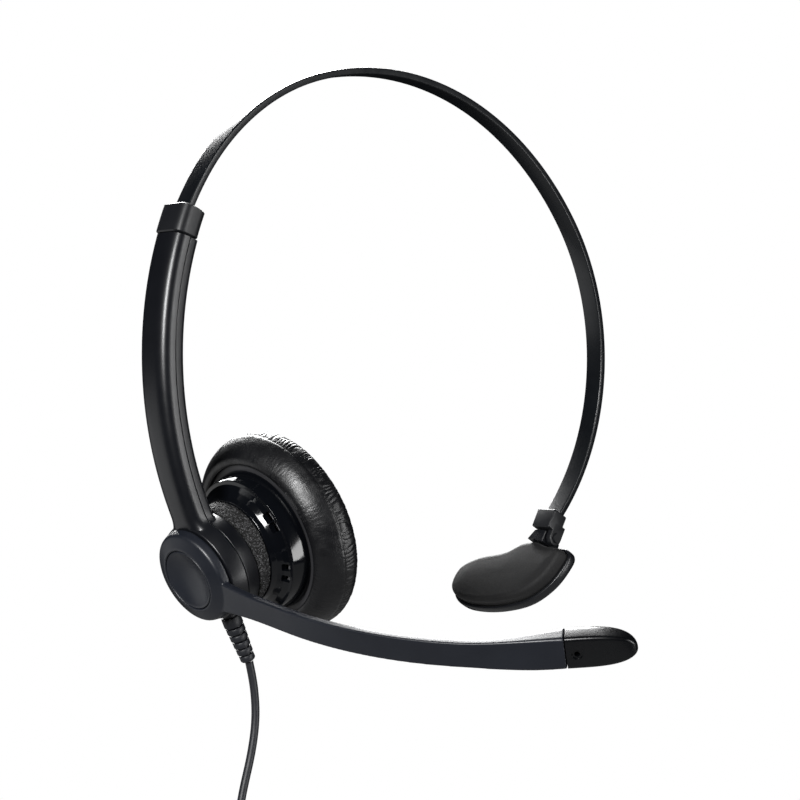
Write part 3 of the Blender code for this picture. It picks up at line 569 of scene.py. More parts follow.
def pad_cloth(name):
    """Soft-touch fabric: fine nap with a slight sheen."""
    n = Nodes(name)
    nap = n.noise(2600.0, 4.0, 0.7)
    colour = n.cloudy(110.0, 4.0, 0.2, (0.0042, 0.0042, 0.0046), (0.0066, 0.0065, 0.0069))
    normal = n.bump(nap, 0.05)
    normal = n.bump(n.noise(500.0, 3.0), 0.06, 0.5, normal)
    gloss = n.ramp(nap, 0.3, 0.7, 0.62, 0.8)
    return n.finish(colour, gloss, normal, Sheen_Weight=0.05, Sheen_Roughness=0.45, Specular_IOR_Level=0.4)


def rubber(name):
    n = Nodes(name)
    colour = n.cloudy(120.0, 4.0, 0.2, (0.0060, 0.0068, 0.0095), (0.0090, 0.0100, 0.0135))
    gloss = n.ramp(n.noise(300.0, 4.0), 0.3, 0.7, 0.44, 0.54)
    normal = n.bump(n.noise(1800.0, 3.0, 0.6), 0.015)
    return n.finish(colour, gloss, normal)


def metal(name, colour, rough):
    n = Nodes(name)
    gloss = n.ramp(n.noise(500.0, 3.0), 0.3, 0.7, rough - 0.06, rough + 0.06)
    tint = n.mix(n.noise(80.0), tuple(c * 0.85 for c in colour), colour)
    return n.finish(tint, gloss, n.bump(n.noise(2500.0, 2.0), 0.003), Metallic=1.0)


def woven(name, colour):
    n = Nodes(name)
    weave = n.add("ShaderNodeTexWave", {"Vector": n.place, "Scale": 900.0, "Distortion": 1.0}).outputs["Fac"]
    # Painted shade: the colour halves where the weave's bump sinks, in the low lines between the threads.
    tint = n.mix(weave, tuple(c * 0.5 for c in colour), colour)
    return n.finish(tint, 0.9, n.bump(weave, 0.08))


LOOKS = {
    "band": plastic("band", (0.0035, 0.0042, 0.0055), (0.005, 0.006, 0.0075), 0.30, 0.04, 0.003, 3000.0),
    "arm": plastic("arm", (0.0038, 0.0042, 0.0058), (0.0052, 0.0058, 0.0075), 0.32, 0.03, 0.01, 2200.0),
    "collar": plastic("collar", (0.006, 0.0065, 0.008), (0.008, 0.0086, 0.0105), 0.42, 0.04, 0.01, 2600.0),
    "soft": plastic("soft_touch", (0.0075, 0.009, 0.0135), (0.01, 0.0118, 0.017), 0.38, 0.05, 0.003, 2400.0),
    "pod": plastic("mic_pod", (0.0012, 0.0014, 0.002), (0.002, 0.0023, 0.003), 0.27, 0.04, 0.003, 2600.0),
    "gloss": plastic("cup_gloss", (0.0020, 0.0024, 0.0034), (0.0028, 0.0033, 0.0045), 0.10, 0.02),
    "tray": plastic("tray", (0.006, 0.0066, 0.0082), (0.0085, 0.0092, 0.011), 0.28, 0.04, 0.006, 2600.0),
    "inside": plastic("inner_plastic", (0.02, 0.02, 0.022), (0.03, 0.03, 0.033), 0.5),
    "leather": leatherette("leatherette"),
    "foam": foam("foam"),
    "cloth": pad_cloth("pad_fabric"),
    "rubber": rubber("rubber"),
    "steel": metal("steel", (0.62, 0.62, 0.64), 0.3),
    "gold": metal("gold", (0.9, 0.66, 0.28), 0.25),
    "magnet": metal("magnet", (0.2, 0.2, 0.21), 0.4),
    "mesh": woven("screen_mesh", (0.10, 0.10, 0.105)),
    "strap": woven("strap", (0.03, 0.03, 0.03)),
    "board": plastic("board", (0.01, 0.08, 0.03), (0.015, 0.11, 0.04), 0.4),
    "film": plastic("film", (0.4, 0.38, 0.33), (0.5, 0.47, 0.42), 0.3),
    "clear": plastic(
        "clear_plastic", (0.72, 0.75, 0.77), (0.8, 0.82, 0.84), 0.12, 0.04,
        Transmission_Weight=0.85, IOR=1.49,
    ),
}  # fmt: skip
SLOT_LOOKS = {
    "black_steel": "band", "satin_plastic": "inside", "soft_touch": "soft", "gloss_plastic": "gloss",
    "leatherette": "leather", "pad_fabric": "cloth", "foam": "foam", "cord_rubber": "rubber",
    "steel": "steel", "gold": "gold", "circuit_board": "board", "magnet": "magnet", "film": "film",
    "clear_plastic": "clear", "felt": "strap",
}  # fmt: skip

# ---------------------------------------------------------------- camera


def stand(name, data, azimuth, elevation, distance):
    """Puts a camera or a lamp round TARGET and aims it there. Azimuth 0 is in front. distance is metres."""
    a, e = math.radians(azimuth), math.radians(elevation)
    back = Vector((math.sin(a) * math.cos(e), -math.cos(a) * math.cos(e), math.sin(e)))
    made = bpy.data.objects.new(name, data)
    made.location = TARGET + back * distance
    made.rotation_euler = back.to_track_quat("Z", "Y").to_euler()
    bpy.context.scene.collection.objects.link(made)
    return made


camera_data = bpy.data.cameras.new("camera")
camera_data.lens = 99.0
camera_data.sensor_width = 36.0
camera_data.clip_start = 0.01
bpy.context.scene.camera = stand("camera", camera_data, -42.5, 0.0, 0.64706)

# ---------------------------------------------------------------- cord


def coil_places():
    """Where each turn lies in the bundle, as (outward, along the coil's axis), to and fro by columns."""
    order = []
    for k, count in enumerate((3, 4, 3, 3)):
        lift = COIL_PITCH / 2 if k == 3 else 0.0
        heights = [(i - (count - 1) / 2) * COIL_PITCH + lift for i in range(count)]
        column = [(h, (1.5 - k) * COIL_COLUMN) for h in heights]
        order += column[::-1] if k % 2 == 0 else column
    return order


def cord_points():
    """The free stretch, the bend into the coil, its turns, and the short run to the plug."""
    centre = Vector(COIL_CENTRE)
    places = coil_places()

    def on_coil(angle, place_here):
        radius = COIL_RADIUS + place_here[0]
        a = math.radians(angle)
        return centre + Vector((radius * math.cos(a), place_here[1], radius * math.sin(a)))

    points = smooth_open([*CORD_ROUTE, *CORD_LEAD_IN, on_coil(COIL_JOIN, places[0])], 3)[:-1]
    total = 360.0 * len(places) + (180.0 - COIL_JOIN)
    steps = math.ceil(total / COIL_STEP)
    for i in range(steps + 1):
        run = total * i / steps
        index = min(int(run // 360.0), len(places) - 1)
        here = places[index]
        if index + 1 < len(places):
            t = ease(run - 360.0 * index, COIL_SHIFT, 360.0)
            there = places[index + 1]
            here = (here[0] * (1 - t) + there[0] * t, here[1] * (1 - t) + there[1] * t)
        points.append(on_coil(COIL_JOIN + run, here))
    end, plug_top = points[-1], centre + Vector(PLUG_PLACE)
    return points + [end.lerp(plug_top, t) for t in (0.2, 0.4, 0.6, 0.8, 1.0)]


route = cord_points()
shape = bpy.data.curves.new("headset_cord", "CURVE")
shape.dimensions = "3D"
shape.bevel_depth = CORD_RADIUS * MM
shape.bevel_resolution = 4
shape.use_fill_caps = True
line = shape.splines.new("POLY")
line.points.add(len(route) - 1)
for point, where in zip(line.points, route):
    point.co = (*(where * MM), 1.0)
line.use_smooth = True
cord = add("headset_cord", shape)
place(cord, "arm", "cord_rubber", LOOKS["rubber"], "cord", "cord_coil")

tie_out = heading(TIE_ANGLE)
tie_frame = axes_frame(Vector(COIL_CENTRE) + tie_out * COIL_RADIUS, tie_out, quarter_turn(tie_out))
side = TIE_WIDTH / 2
tie_places = ((TIE_INSIDE, side), (TIE_OUTSIDE, side), (TIE_OUTSIDE, -side), (TIE_INSIDE, -side))
tie = spun("coil_tie", rounded([(*corner, TIE_EDGE) for corner in tie_places], 3), tie_frame, 64)
place(tie, "arm", "felt", LOOKS["strap"], "cord_tie")

# ---------------------------------------------------------------- headband


def band_section(width, thickness, radius=0.42):
    return rounded_box(width, thickness, [radius] * 4, 4)


band_path = arc_points(SLIDE_CENTRE, SLIDE_RADIUS, TAIL_ANGLE, SLIDE_ANGLE)
band_path += arc_points(SHOULDER_CENTRE, SHOULDER_RADIUS, SLIDE_ANGLE, SHOULDER_ANGLE)[1:]
band_path += arc_points(CROWN_CENTRE, CROWN_RADIUS, SHOULDER_ANGLE, TEMPLE_ANGLE)[1:]
band_path += arc_points(TEMPLE_CENTRE, TEMPLE_RADIUS, TEMPLE_ANGLE, CLAMP_ANGLE)[1:]
band = swept("band", band_path, lambda i: band_section(BAND_WIDTH, BAND_THICKNESS))
place(band, "headband", "black_steel", LOOKS["band"], "headband")

# ---------------------------------------------------------------- arm


def arm_half_width(up):
    """Half the arm's width at a distance up from the hub's axis, flared into the hub."""
    side = ARM_WIDTH / 2 + HUB_FILLET
    reach = HUB_CORNER + HUB_FILLET
    middle = math.sqrt(reach**2 - side**2)
    if up >= middle:
        return ARM_WIDTH / 2
    up = max(up, middle * HUB_CORNER / reach)
    return side - math.sqrt(max(HUB_FILLET**2 - (middle - up) ** 2, 0.0))


def superellipse(half, low, high, steps=40):
    """The upper half of a superellipse, from its right end over the top to its left end."""
    power = 2 / ARM_DOME
    points = []
    for k in range(steps + 1):
        c, s = math.cos(math.pi * k / steps), math.sin(math.pi * k / steps)
        points.append((half * math.copysign(abs(c) ** power, c), low + (high - low) * abs(s) ** power))
    return points


def arm_section(half, outer):
    """One half of the arm's D-shaped section, split a little inwards of the middle."""
    if outer:
        half, low = half + ARM_PROUD[0], ARM_SPLIT + PART_GAP
        dome = superellipse(half, low, ARM_THICKNESS / 2 + ARM_PROUD[1])
        lip = 0.15
        return [(-half + lip, low), (half - lip, low), (half, low + lip), *dome[2:-2], (-half, low + lip)]
    back_face, high = -ARM_THICKNESS / 2, ARM_SPLIT - PART_GAP
    corners = [(-half, back_face, 1.7), (half, back_face, 1.7), (half, high, 0.18), (-half, high, 0.18)]
    return rounded(corners, 9)


# The hub's halves as (radius, level, corner radius)
OUTER_HUB = (
    (0, HUB_SPLIT - PART_GAP, 0), (15.0, HUB_SPLIT - PART_GAP, 0.2), (13.8, -1.5, 0.45), (4.2, -1.5, 0.2),
    (4.2, 0.4, 0.2), (0, 0.4, 0),
)  # fmt: skip
INNER_HUB = ((0, 7.6, 0), (14.4, 7.6, 0.7), (15.0, HUB_SPLIT + PART_GAP, 0.2), (0, HUB_SPLIT + PART_GAP, 0))


def arm_half(name, outer, node):
    """The arm's outer or inner half, joined to its part of the hub."""
    points = arm_points(ARM_TOP, -1.5)
    ups = [(HUB.inverted() @ (point * MM) / MM).x for point, _ in points]
    made = swept(name, points, lambda i: arm_section(arm_half_width(ups[i]), outer))
    barrel = spun("barrel", rounded(OUTER_HUB if outer else INNER_HUB, 4), HUB, 128)
    boolean(made, [barrel], "UNION", 32.0)
    return place(made, "arm", "satin_plastic", LOOKS["arm"], node)


def adjuster_collar():
    """The collar at the arm's top, with narrow chamfers at its ends and a slot for the band."""
    path = arc_points(ARM_CENTRE, ARM_RADIUS + COLLAR_SHIFT, COLLAR_TOP, ARM_TOP - 0.2, 0.7)
    start, end = path[0], path[-1]
    inwards = (path[1][0] - start[0]).normalized() * COLLAR_CHAMFER
    path = [start, (start[0] + inwards, start[1]), *path[1:-1], (end[0] - inwards, end[1]), end]

    def section(i):
        shrink = 2 * COLLAR_CHAMFER if i in (0, len(path) - 1) else 0.0
        width = ARM_WIDTH + COLLAR_PROUD[0] - shrink
        return rounded_box(width, ARM_THICKNESS + COLLAR_PROUD[1] - shrink, [2.3, 2.3, 3.0, 3.0], 8)

    collar = swept("collar", path, section, 50.0)
    slot_path = arc_points(SLIDE_CENTRE, SLIDE_RADIUS, SLIDE_ANGLE, SLIDE_ANGLE + 24)
    hole = band_section(BAND_WIDTH + SLOT_ROOM, BAND_THICKNESS + SLOT_ROOM, 0.5)
    boolean(collar, [swept("slot", slot_path, lambda i: hole)], "DIFFERENCE", 40.0)
    return place(collar, "arm", "satin_plastic", LOOKS["collar"], "adjuster_collar")


arm_half("arm_outer", True, "arm_shell")
arm_half("arm_inner", False, "arm_cover")
adjuster_collar()

# ---------------------------------------------------------------- boom


def boom_ring(length, width, thickness, radii, low=BOOM_LOW):
    """A section of the boom at a length along it: straight at first, then bent towards the mouth."""
    bend = min(max(0.0, length - BOOM_STRAIGHT) / BOOM_BEND_RADIUS, math.radians(BOOM_BEND))
    straight = max(0.0, length - BOOM_STRAIGHT - BOOM_BEND_RADIUS * bend)
    along = min(length, BOOM_STRAIGHT) + BOOM_BEND_RADIUS * math.sin(bend) + straight * math.cos(bend)
    inward = BOOM_LEVEL + BOOM_BEND_RADIUS * (1 - math.cos(bend)) + straight * math.sin(bend)
    centre = thickness / 2 - BOOM_FACE
    ring = []
    for across, deep in rounded_box(width, thickness, radii, 7):
        offset = deep + centre
        ring.append((along - offset * math.sin(bend), low + across, inward + offset * math.cos(bend)))
    return ring


def pod_share(length):
    """How far the blade has grown towards the pod's thickness, from 0 to 1."""
    return min(max(0.0, (length - POD_SWELL) / (POD_SEAM - POD_SWELL)), 1.0) ** 1.4


def boom_size(length):
    width = BLADE_SIZE[0] + POD_GROWTH[0] * ease(length, 87, 112)
    return width, BLADE_SIZE[1] + POD_GROWTH[1] * pod_share(length)


def blade_ring(length):
    width, thickness = boom_size(length)
    root = 1 - ease(length, 6, 30)
    share = pod_share(length)
    outer, inner = 0.4 + 0.7 * share, 0.4 + 2.6 * share
    return boom_ring(length, width + BLADE_ROOT * root**1.6, thickness, [outer, outer, inner, inner])


def boom_blade():
    """The blade, melted into the disc that turns on the hub."""
    lengths = [6 + 1.5 * i for i in range(73)] + [POD_SEAM - POD_GAP]
    blade = lofted("boom_arm", [blade_ring(length) for length in lengths], BOOM, 40.0)
    corners = [(0, -1.8, 0), (13.6, -1.8, 0.5), (12.9, -4.4, 1.1), (9.3, -5.75, 0.5), (8.75, -5.75, 0.2)]
    corners += [(8.75, -3.65, 0.2), (0, -3.65, 0)]
    boolean(blade, [spun("disc", rounded(corners, 6), BOOM, 128)], "UNION", 40.0)
    softened(blade, voxel=0.24, rounds=4)
    return place(blade, "boom", "soft_touch", LOOKS["soft"], "boom")


def boom_dish(steps=24):
    """The cap in the disc, dished by a power curve."""
    profile = [(0, -3.7), (8.45, -3.7), (8.58, -5.45), (8.4, -5.62)]
    for i in range(steps + 1):
        radius = DISH_RADIUS - DISH_RADIUS * i / steps
        profile.append((radius, DISH_RIM + DISH_DEPTH - DISH_DEPTH * (radius / DISH_RADIUS) ** 2.4))
    cap = spun("boom_dish", profile, BOOM, 128)
    return place(cap, "boom", "soft_touch", LOOKS["soft"], "boom_cap")


def pod_ring(length, start, size):
    """A section of the microphone's pod, which tapers to a rounded end."""
    t = (length - start) / (BOOM_LENGTH + 0.02 - start)
    taper = max(1 - t**3.7, 0.0) ** 0.48
    width, thickness = size[0] * taper, size[1] * taper
    radii = [1.1 * taper, 1.1 * taper, 3.0 * taper, 3.0 * taper]
    ring = boom_ring(length, max(width, 0.1), max(thickness, 0.1), radii, BOOM_LOW + 0.9 * (1 - taper))
    bend = math.radians(BOOM_BEND)
    lift = (size[1] - thickness) * 0.4
    return [(x - lift * math.sin(bend), y, z + lift * math.cos(bend)) for x, y, z in ring]


def mic_pod(steps=26):
    """The microphone's hollow pod, with its dimpled sound hole."""
    start, size = POD_SEAM + POD_GAP, boom_size(POD_SEAM + 4)
    lengths = [start + (BOOM_LENGTH - start) * math.sin(math.pi / 2 * i / steps) for i in range(steps + 1)]
    pod = lofted("mic_capsule_pod", [pod_ring(length, start, size) for length in lengths], BOOM, 50.0)
    seat_ring = boom_ring(POD_SEAM + 5.0, *size, [1.0] * 4)
    seat_centre = sum((Vector(p) for p in seat_ring), Vector()) / len(seat_ring)
    seat = shifted(BOOM, *seat_centre) @ Matrix.Rotation(-math.radians(BOOM_BEND), 4, "Y")
    hole_frame = shifted(seat, x=-2.2, y=0.3)
    cutters = [
        cylinder("hole", 0.75, -6.0, -1.0, hole_frame, 40),
        spun("dimple", [(0, -3.1), (1.25, -3.1), (1.7, -4.6), (0, -4.6)], hole_frame, 48),
        box("hollow", (-9.0, -2.6, -1.9), (3.4, 2.6, 2.0), seat, 0.4),
    ]
    boolean(pod, cutters, "DIFFERENCE", 40.0)
    return place(pod, "boom", "gloss_plastic", LOOKS["pod"], "mic_pod")


boom_blade()
boom_dish()
mic_pod()

# ---------------------------------------------------------------- ear cup

CUP_PROFILE = (
    (18.9, 9.4, 0.2), (20.5, 9.4, 0.25), (19.45, 4.35, 0.35), (19.3, 3.85, 0.12), (19.2, 4.0, 0.3),
    (18.2, 3.85, 1.2), (16.9, 3.1, 2.0), (15.5, 1.7, 1.6), (14.9, 0.35, 0.3), (5.2, 0.3, 0.2),
    (5.0, -2.5, 0.3), (2.9, -2.5, 0.2), (3.8, 0.0, 1.5), (2.9, 2.5, 0.2), (2.9, 3.3, 0.2), (5.2, 3.3, 0.3),
    (5.4, 1.7, 0.4), (13.9, 1.7, 0.5), (14.6, 2.9, 0.5), (16.6, 4.4, 0.5), (18.9, 5.2, 0.5),
)  # fmt: skip
VENTS = ((57.0, 2.9), (67.5, 2.9), (107.0, 2.1), (119.0, 2.1))  # angle from the top, and width
VENT_INNER = 16.35
VENT_OUTER = 18.35
VENT_HEIGHT = 8.0
LEAD_HOLE_RADIUS = 1.3
LEAD_HOLE_UP = 7.0


def cup_shell():
    """The glossy cup, with slots on both sides and a hole for the speaker's lead."""
    cup = spun("ear_cup_shell", rounded(CUP_PROFILE, 6), CUP, 160)
    cutters = []
    for angle, width in VENTS:
        for side in (1, -1):
            turn = CUP @ Matrix.Rotation(math.radians(side * angle), 4, "Z")
            low, high = (VENT_INNER, -width / 2, 0.0), (VENT_OUTER, width / 2, VENT_HEIGHT)
            cutters.append(box("vent", low, high, turn, 0.25))
    cutters.append(cylinder("lead_hole", LEAD_HOLE_RADIUS, -1.0, 3.0, shifted(CUP, x=LEAD_HOLE_UP)))
    boolean(cup, cutters, "DIFFERENCE", 34.0)
    return place(cup, "ear_cup", "gloss_plastic", LOOKS["gloss"], "cup_shell")


cup_shell()

# ---------------------------------------------------------------- ear cushion

BACK_CURVE = smooth_open(
    [(22.0, 9.25), (22.15, 8.85), (22.9, 8.62), (24.3, 8.9), (26.0, 10.2), (27.5, 12.1), (28.35, 13.9),
     (28.62, 14.75)],
    5,
)  # fmt: skip
SIDE_CURVE = smooth_open(
    [(28.5, 15.1), (28.75, 16.3), (28.85, 17.7), (28.45, 19.1), (27.6, 20.3), (26.3, 21.1)],
    7,
)  # fmt: skip
FACE_CURVE = smooth_open(
    [(24.2, 21.65), (21.2, 21.9), (18.2, 21.8), (15.6, 21.2), (13.6, 20.1), (12.6, 18.4), (12.25, 16.2),
     (12.3, 13.4), (12.8, 11.4)],
    4,
)  # fmt: skip
CUSHION_SEAT = [(23.85, 11.25), (23.85, 9.35), (22.3, 9.35)]  # flat against the baffle
SIDE_START = len(BACK_CURVE)
FACE_START = SIDE_START + len(SIDE_CURVE)
SEAT_START = FACE_START + len(FACE_CURVE)
PLEATS = 120


def ripple(turn, density, height):
    """Noise taken on a cylinder: a larger density gives more ripples round the cushion."""
    return noise.noise(around(density, turn, height))


def pleat(turn, level):
    """The gathered edge: narrow ridges of uneven width and depth that run over the seam."""
    sway = 1.5 * ripple(turn, 9.0, level * 0.16)
    ridge = abs(math.sin(math.pi * (turn / (2 * math.pi) * PLEATS + sway)))
    return 0.24 * (ridge**0.7 - 0.62) + 0.09 * ripple(turn, 55.0, level * 0.35)


def back_bend(turn, t, r, z, swell):
    """Creases that run out from the opening, bunched in a few places, and pull in at the seam."""
    inner = math.sin(math.pi * min(t * 1.15, 1.0))
    bunch = max(0.0, ripple(turn, 1.7, 5.0) + 0.18) ** 0.8
    crease = abs(ripple(turn, 26.0, z * 0.42)) ** 0.7
    slanted = noise.noise(Vector((math.cos(turn) * 9.0 + z * 0.5, math.sin(turn) * 9.0, r * 0.75)))
    cross = abs(slanted) ** 0.7
    depth = (0.24 * bunch + 0.02) * inner * (1.0 - crease) + (0.14 * bunch + 0.015) * inner * (1.0 - cross)
    tug = 0.10 * ease(t, 0.72, 1.0) * ripple(turn, 40.0, z * 0.3)
    amount = swell - depth + tug
    slope = ease(t, 0.25, 0.85)
    return (amount * slope, -amount * (1 - slope) * 0.8)


def side_bend(turn, t, z, swell):
    """Full pleats, which fade towards the face."""
    strength = ease(t, 0.0, 0.12) * (1 - 0.75 * ease(t, 0.62, 1.0))
    return (pleat(turn, z) * strength + swell, 0.12 * strength * ripple(turn, 30.0, z))


def face_bend(turn, t, r, z, swell):
    """The last of the pleats, and slack folds on the face."""
    strength = 0.45 * (1 - ease(t, 0.0, 0.3))
    amount = pleat(turn, z) * strength + swell * 0.5 + 0.12 * ripple(turn, 14.0, r * 0.25)
    return (amount * 0.3, amount * 0.7)


def cushion_bend(turn, i, r, z):
    """How a point of the cushion is moved outwards and along its axis."""
    swell = 0.28 * noise.noise(around(r, turn, z) * 0.075 + Vector((3.1, 0.0, 0.0)))
    if i < SIDE_START:
        return back_bend(turn, i / SIDE_START, r, z, swell)
    if i < FACE_START:
        return side_bend(turn, (i - SIDE_START) / len(SIDE_CURVE), z, swell)
    if i < SEAT_START:
        return face_bend(turn, (i - FACE_START) / len(FACE_CURVE), r, z, swell)
    return (0.0, 0.0)


cushion_profile = BACK_CURVE + SIDE_CURVE + FACE_CURVE + CUSHION_SEAT
cushion = spun("ear_cushion_cover", cushion_profile, CUP, 900, cushion_bend, 70.0)
place(cushion, "ear_cup", "leatherette", LOOKS["leather"], "ear_cushion")

# ---------------------------------------------------------------- foam between hub and cup


def foam_line(radius, turn, crumbly, rows=22):
    """A line of the collar's skin, from the hub's flat end to the cup's tilted back."""
    base = HUB @ (around(radius, turn, FOAM_BASE) * MM) / MM
    reach = (BALL - base).dot(CUP_AXIS) / HUB_AXIS.dot(CUP_AXIS)
    points = []
    for i in range(rows + 1):
        point = base + HUB_AXIS * (reach + 0.05) * (i / rows)
        if crumbly:
            offset = point - HUB_ORIGIN
            out = (offset - HUB_AXIS * offset.dot(HUB_AXIS)).normalized()
            barrel = 0.25 * math.sin(math.pi * i / rows)
            crumb = noise.noise(point * 1.35) * 0.24 + noise.noise(point * 3.1) * 0.16
            point = point + out * (barrel + crumb)
        points.append(point)
    return points


def foam_collar(steps=420):
    """A ring of open-celled foam, crumbly on its outside."""
    rings = []
    for k in range(steps):
        turn = 2 * math.pi * k / steps
        rings.append(foam_line(FOAM_OUTSIDE, turn, True) + foam_line(FOAM_INSIDE, turn, False)[::-1])
    return lofted("sponge_ring", rings, angle=80.0, closed=True)


sponge = foam_collar()
place(sponge, "arm", "foam", LOOKS["foam"], "foam_collar")

# ---------------------------------------------------------------- strain relief


def boot_profile():
    """The boot's neck, and ribs that get a little smaller down the cord, with grooves between them."""
    profile = [(0, 10.4), (2.7, 10.4), (2.7, 11.7), (1.95, 11.8), (1.95, 15.5), (2.55, 15.55)]
    profile += [(2.75, 15.8), (BOOT_RADIUS, 18.2)]
    for rib in range(RIBS):
        low = RIB_START + rib * RIB_PITCH
        high = low + RIB_GROOVE
        radius, after = BOOT_RADIUS - RIB_SHRINK * rib, BOOT_RADIUS - RIB_SHRINK * (rib + 1)
        profile += [(radius - 0.08, low - 0.03), (radius - 0.75, low + 0.02), (radius - 0.75, high)]
        profile += [(after - 0.08, high + 0.05), (after, high + 0.15), (after, low + RIB_PITCH - 0.15)]
    return profile + [(1.9, BOOT_END - 0.1), (1.7, BOOT_END), (0, BOOT_END)]


def strain_relief():
    """The boot, notched on two sides of each groove, a quarter turn further at every other one."""
    boot = spun("strain_relief_boot", boot_profile(), BOOT, 64)
    notches = []
    for rib in range(RIBS):
        level = shifted(BOOT, z=RIB_START + RIB_GROOVE / 2 + rib * RIB_PITCH)
        level = level @ Matrix.Rotation(math.radians(42 + 90 * (rib % 2)), 4, "Z")
        for low in (1.5, -4.0):
            notches.append(box("notch", (low, -1.1, -0.26), (low + 2.5, 1.1, 0.26), level))
    boolean(boot, notches, "DIFFERENCE", 40.0)
    return place(boot, "arm", "cord_rubber", LOOKS["rubber"], "strain_relief")


strain_relief()

# ---------------------------------------------------------------- temple pad

KIDNEY = [(-down, backwards) for backwards, down in PAD_OUTLINE]
SPINE = smooth_open([(-9.8, -3.0), (-10.5, 6.0), (-13.0, 14.0), (-15.2, 25.5)], 12)  # of the kidney
TRAY_LEVELS = (
    (-0.6, -6.2), (0.2, -6.1), (0.8, -5.75), (1.15, -5.2), (1.2, -4.6), (1.2, -3.1), (1.12, -2.78),
    (0.9, -2.62),
)  # fmt: skip
POCKET_LEVELS = ((0.28, -4.75), (0.28, -3.0), (0.3, 3.5))
NECK_TOP = 2.78
NECK_FLARE = 0.52
NECK_PROFILE = (
    (-0.9, -5.6, 0.1), (1.2, -5.6, 0.4), (2.7, -2.7, 0.8), (NECK_TOP, 0.6, 0.3), (2.55, 2.4, 0.3),
    (-1.2, 2.5, 0.1),
)  # fmt: skip
NECK_ENDS = ((-2.95, 0.3), (-2.7, 0.0), (1.4, 0.0), (1.6, 0.25))  # forwards, and how far drawn in
CHEEK_RADIUS = 2.5
CHEEK_SIDES = (1.9, 3.75)


def close_end(bm, loop, height, rise):
    """Closes a loop of the kidney with rows that draw in to its spine, and rise to a crown."""
    edge = [Vector((v.co.x / MM, v.co.y / MM)) for v in loop]
    nearest = [min(SPINE, key=lambda s, p=p: (s - p).length) for p in edge]
    for share in (0.12, 0.26, 0.42, 0.6, 0.8):
        level = height + rise * (1 - (1 - share) ** 2)
        points = [p.lerp(s, share) for p, s in zip(edge, nearest)]
        row = [bm.verts.new(Vector((q.x, q.y, level)) * MM) for q in points]
        bridge(bm, loop, row)
        loop = row
    bm.faces.new(loop)


def kidney_solid(name, levels, crown=0.0, angle=40.0, steps=12):
    """A stack of the pad's outline at (growth, height) levels, with both ends closed."""
    bm = bmesh.new()
    loops = []
    for grow, height in levels:
        outline = smooth_loop(KIDNEY, steps, grow)
        loops.append([bm.verts.new(Vector((p.x, p.y, height)) * MM) for p in outline])
    for a, b in zip(loops, loops[1:]):
        bridge(bm, a, b)
    close_end(bm, loops[0], levels[0][1], 0.0)
    close_end(bm, loops[-1], levels[-1][1], crown)
    return add(name, mesh_of(name, bm, angle), PAD)


def round_edge(low, high, radius, steps=7):
    """Levels of a kidney with a rounded upper edge."""
    levels = [(-0.5, low), (0.0, low + 0.4)]
    for k in range(steps + 1):
        a = math.pi / 2 * k / steps
        levels.append((-radius * (1 - math.cos(a)), high - radius * (1 - math.sin(a))))
    return levels


def tray_neck():
    """The part of the tray round the clamp's cheek, which flares backwards as it goes down."""
    across = axes_frame(PAD.translation / MM, PAD_UP, (0, -1, 0))  # X up, Y towards the head, Z forwards
    rings = []
    for forwards, inset in NECK_ENDS:
        flare = NECK_FLARE if forwards < 0 else 0.0
        ring = []
        for x, y in rounded(NECK_PROFILE):
            drawn_x = x - inset if x > 1 else x
            drawn_y = y - inset if y > 0 else y + inset
            ring.append((drawn_x, drawn_y, forwards - flare * (NECK_TOP - x)))
        rings.append(ring)
    return lofted("neck", rings, across)


def temple_tray():
    tray = kidney_solid("temple_tray_shell", TRAY_LEVELS)
    pocket = kidney_solid("pocket", POCKET_LEVELS)
    boolean(tray, [tray_neck()], "UNION", 40.0)
    boolean(tray, [pocket], "DIFFERENCE", 40.0)
    return place(tray, "temple_pad", "satin_plastic", LOOKS["tray"], "temple_tray")


def temple_clamp():
    """The band's moulded end, with the cheek that holds the pad's pin."""
    clamp = box("band_clamp", (-3.45, -3.75, -3.0), (2.75, 3.75, 3.0), CLAMP, 0.45)
    cheek_frame = axes_frame(PIN.translation / MM, CLAMP_UP, (0, -1, 0))
    low, high = CHEEK_SIDES
    profile = [(0, high, 0), (CHEEK_RADIUS, high, 0.3), (CHEEK_RADIUS, low, 0.2), (0, low, 0)]
    cheek = spun("cheek", rounded(profile, 3), cheek_frame, 64)
    web = box("web", (0.0, -CHEEK_RADIUS, low), (4.4, CHEEK_RADIUS, high), cheek_frame, 0.25)
    boolean(clamp, [cheek, web], "UNION", 40.0)
    return place(clamp, "headband", "satin_plastic", LOOKS["collar"], "temple_clamp")


pad = kidney_solid("temple_pad_cover", round_edge(-4.4, 1.35, 1.7), 0.45, 60.0)
place(pad, "temple_pad", "pad_fabric", LOOKS["cloth"], "temple_pad")
temple_tray()
temple_clamp()

# ---------------------------------------------------------------- CAD nodes that no piece replaces

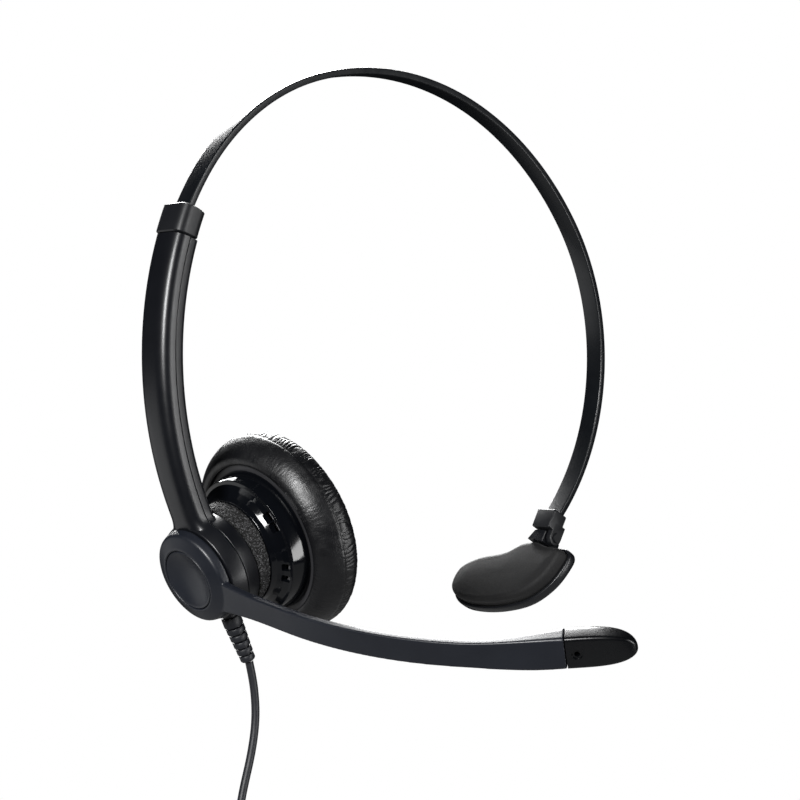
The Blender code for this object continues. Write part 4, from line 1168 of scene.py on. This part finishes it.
replaced = {n for o in bpy.data.objects for n in o.get("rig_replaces", [])}
slots = {row["node"]: row["material_slot"] for row in frame["record"]["subparts"]}
for name, node in frame["nodes"].items():
    if name in replaced:
        continue
    node.data.materials.clear()
    node.data.materials.append(LOOKS[SLOT_LOOKS[slots[name]]])
frame["nodes"]["vent_screen"].data.materials[0] = LOOKS["mesh"]
frame["nodes"]["temple_pin"].data.materials[0] = LOOKS["collar"]

# ---------------------------------------------------------------- stage and light

FLOOR_RADIUS = 240.0
FLOOR_LEVEL = -285.0

floor_mesh = bpy.data.meshes.new("floor")
bm = bmesh.new()
bmesh.ops.create_circle(bm, cap_ends=True, radius=FLOOR_RADIUS * MM, segments=96)
bm.to_mesh(floor_mesh)
bm.free()
floor = add("floor", floor_mesh, shifted(Matrix.Identity(4), z=FLOOR_LEVEL))
floor_mesh.materials.append(Nodes("floor").finish((0.12, 0.12, 0.12, 1.0), 0.9))

# White where the camera sees it, and almost black for every other ray.
world = bpy.data.worlds.new("studio")
world.use_nodes = True
tree = world.node_tree
tree.nodes.clear()
seen = tree.nodes.new("ShaderNodeBackground")
seen.inputs["Color"].default_value = (1.0, 1.0, 1.0, 1.0)
lit = tree.nodes.new("ShaderNodeBackground")
lit.inputs["Color"].default_value = (0.010, 0.011, 0.013, 1.0)
choose = tree.nodes.new("ShaderNodeMixShader")
ray = tree.nodes.new("ShaderNodeLightPath")
output = tree.nodes.new("ShaderNodeOutputWorld")
tree.links.new(ray.outputs["Is Camera Ray"], choose.inputs["Fac"])
tree.links.new(lit.outputs[0], choose.inputs[1])
tree.links.new(seen.outputs[0], choose.inputs[2])
tree.links.new(choose.outputs[0], output.inputs["Surface"])
bpy.context.scene.world = world
bpy.context.scene.view_settings.view_transform = "Standard"


def softbox(name, azimuth, elevation, distance, width, height, power):
    """A rectangular lamp. Its distance and size are metres."""
    data = bpy.data.lights.new(name, "AREA")
    data.shape = "RECTANGLE"
    data.size, data.size_y = width, height
    data.energy = power
    stand(name, data, azimuth, elevation, distance)


softbox("back", 150.0, 32.0, 1.0, 0.55, 0.42, 20.0)
softbox("front", -66.0, 16.0, 1.1, 0.32, 0.4, 17.0)
softbox("right", 20.0, -2.0, 1.0, 0.2, 1.0, 6.0)
softbox("over", 148.0, 47.0, 1.0, 0.4, 0.26, 6.5)
softbox("left", -148.0, -20.0, 1.0, 0.7, 0.5, 0.8)
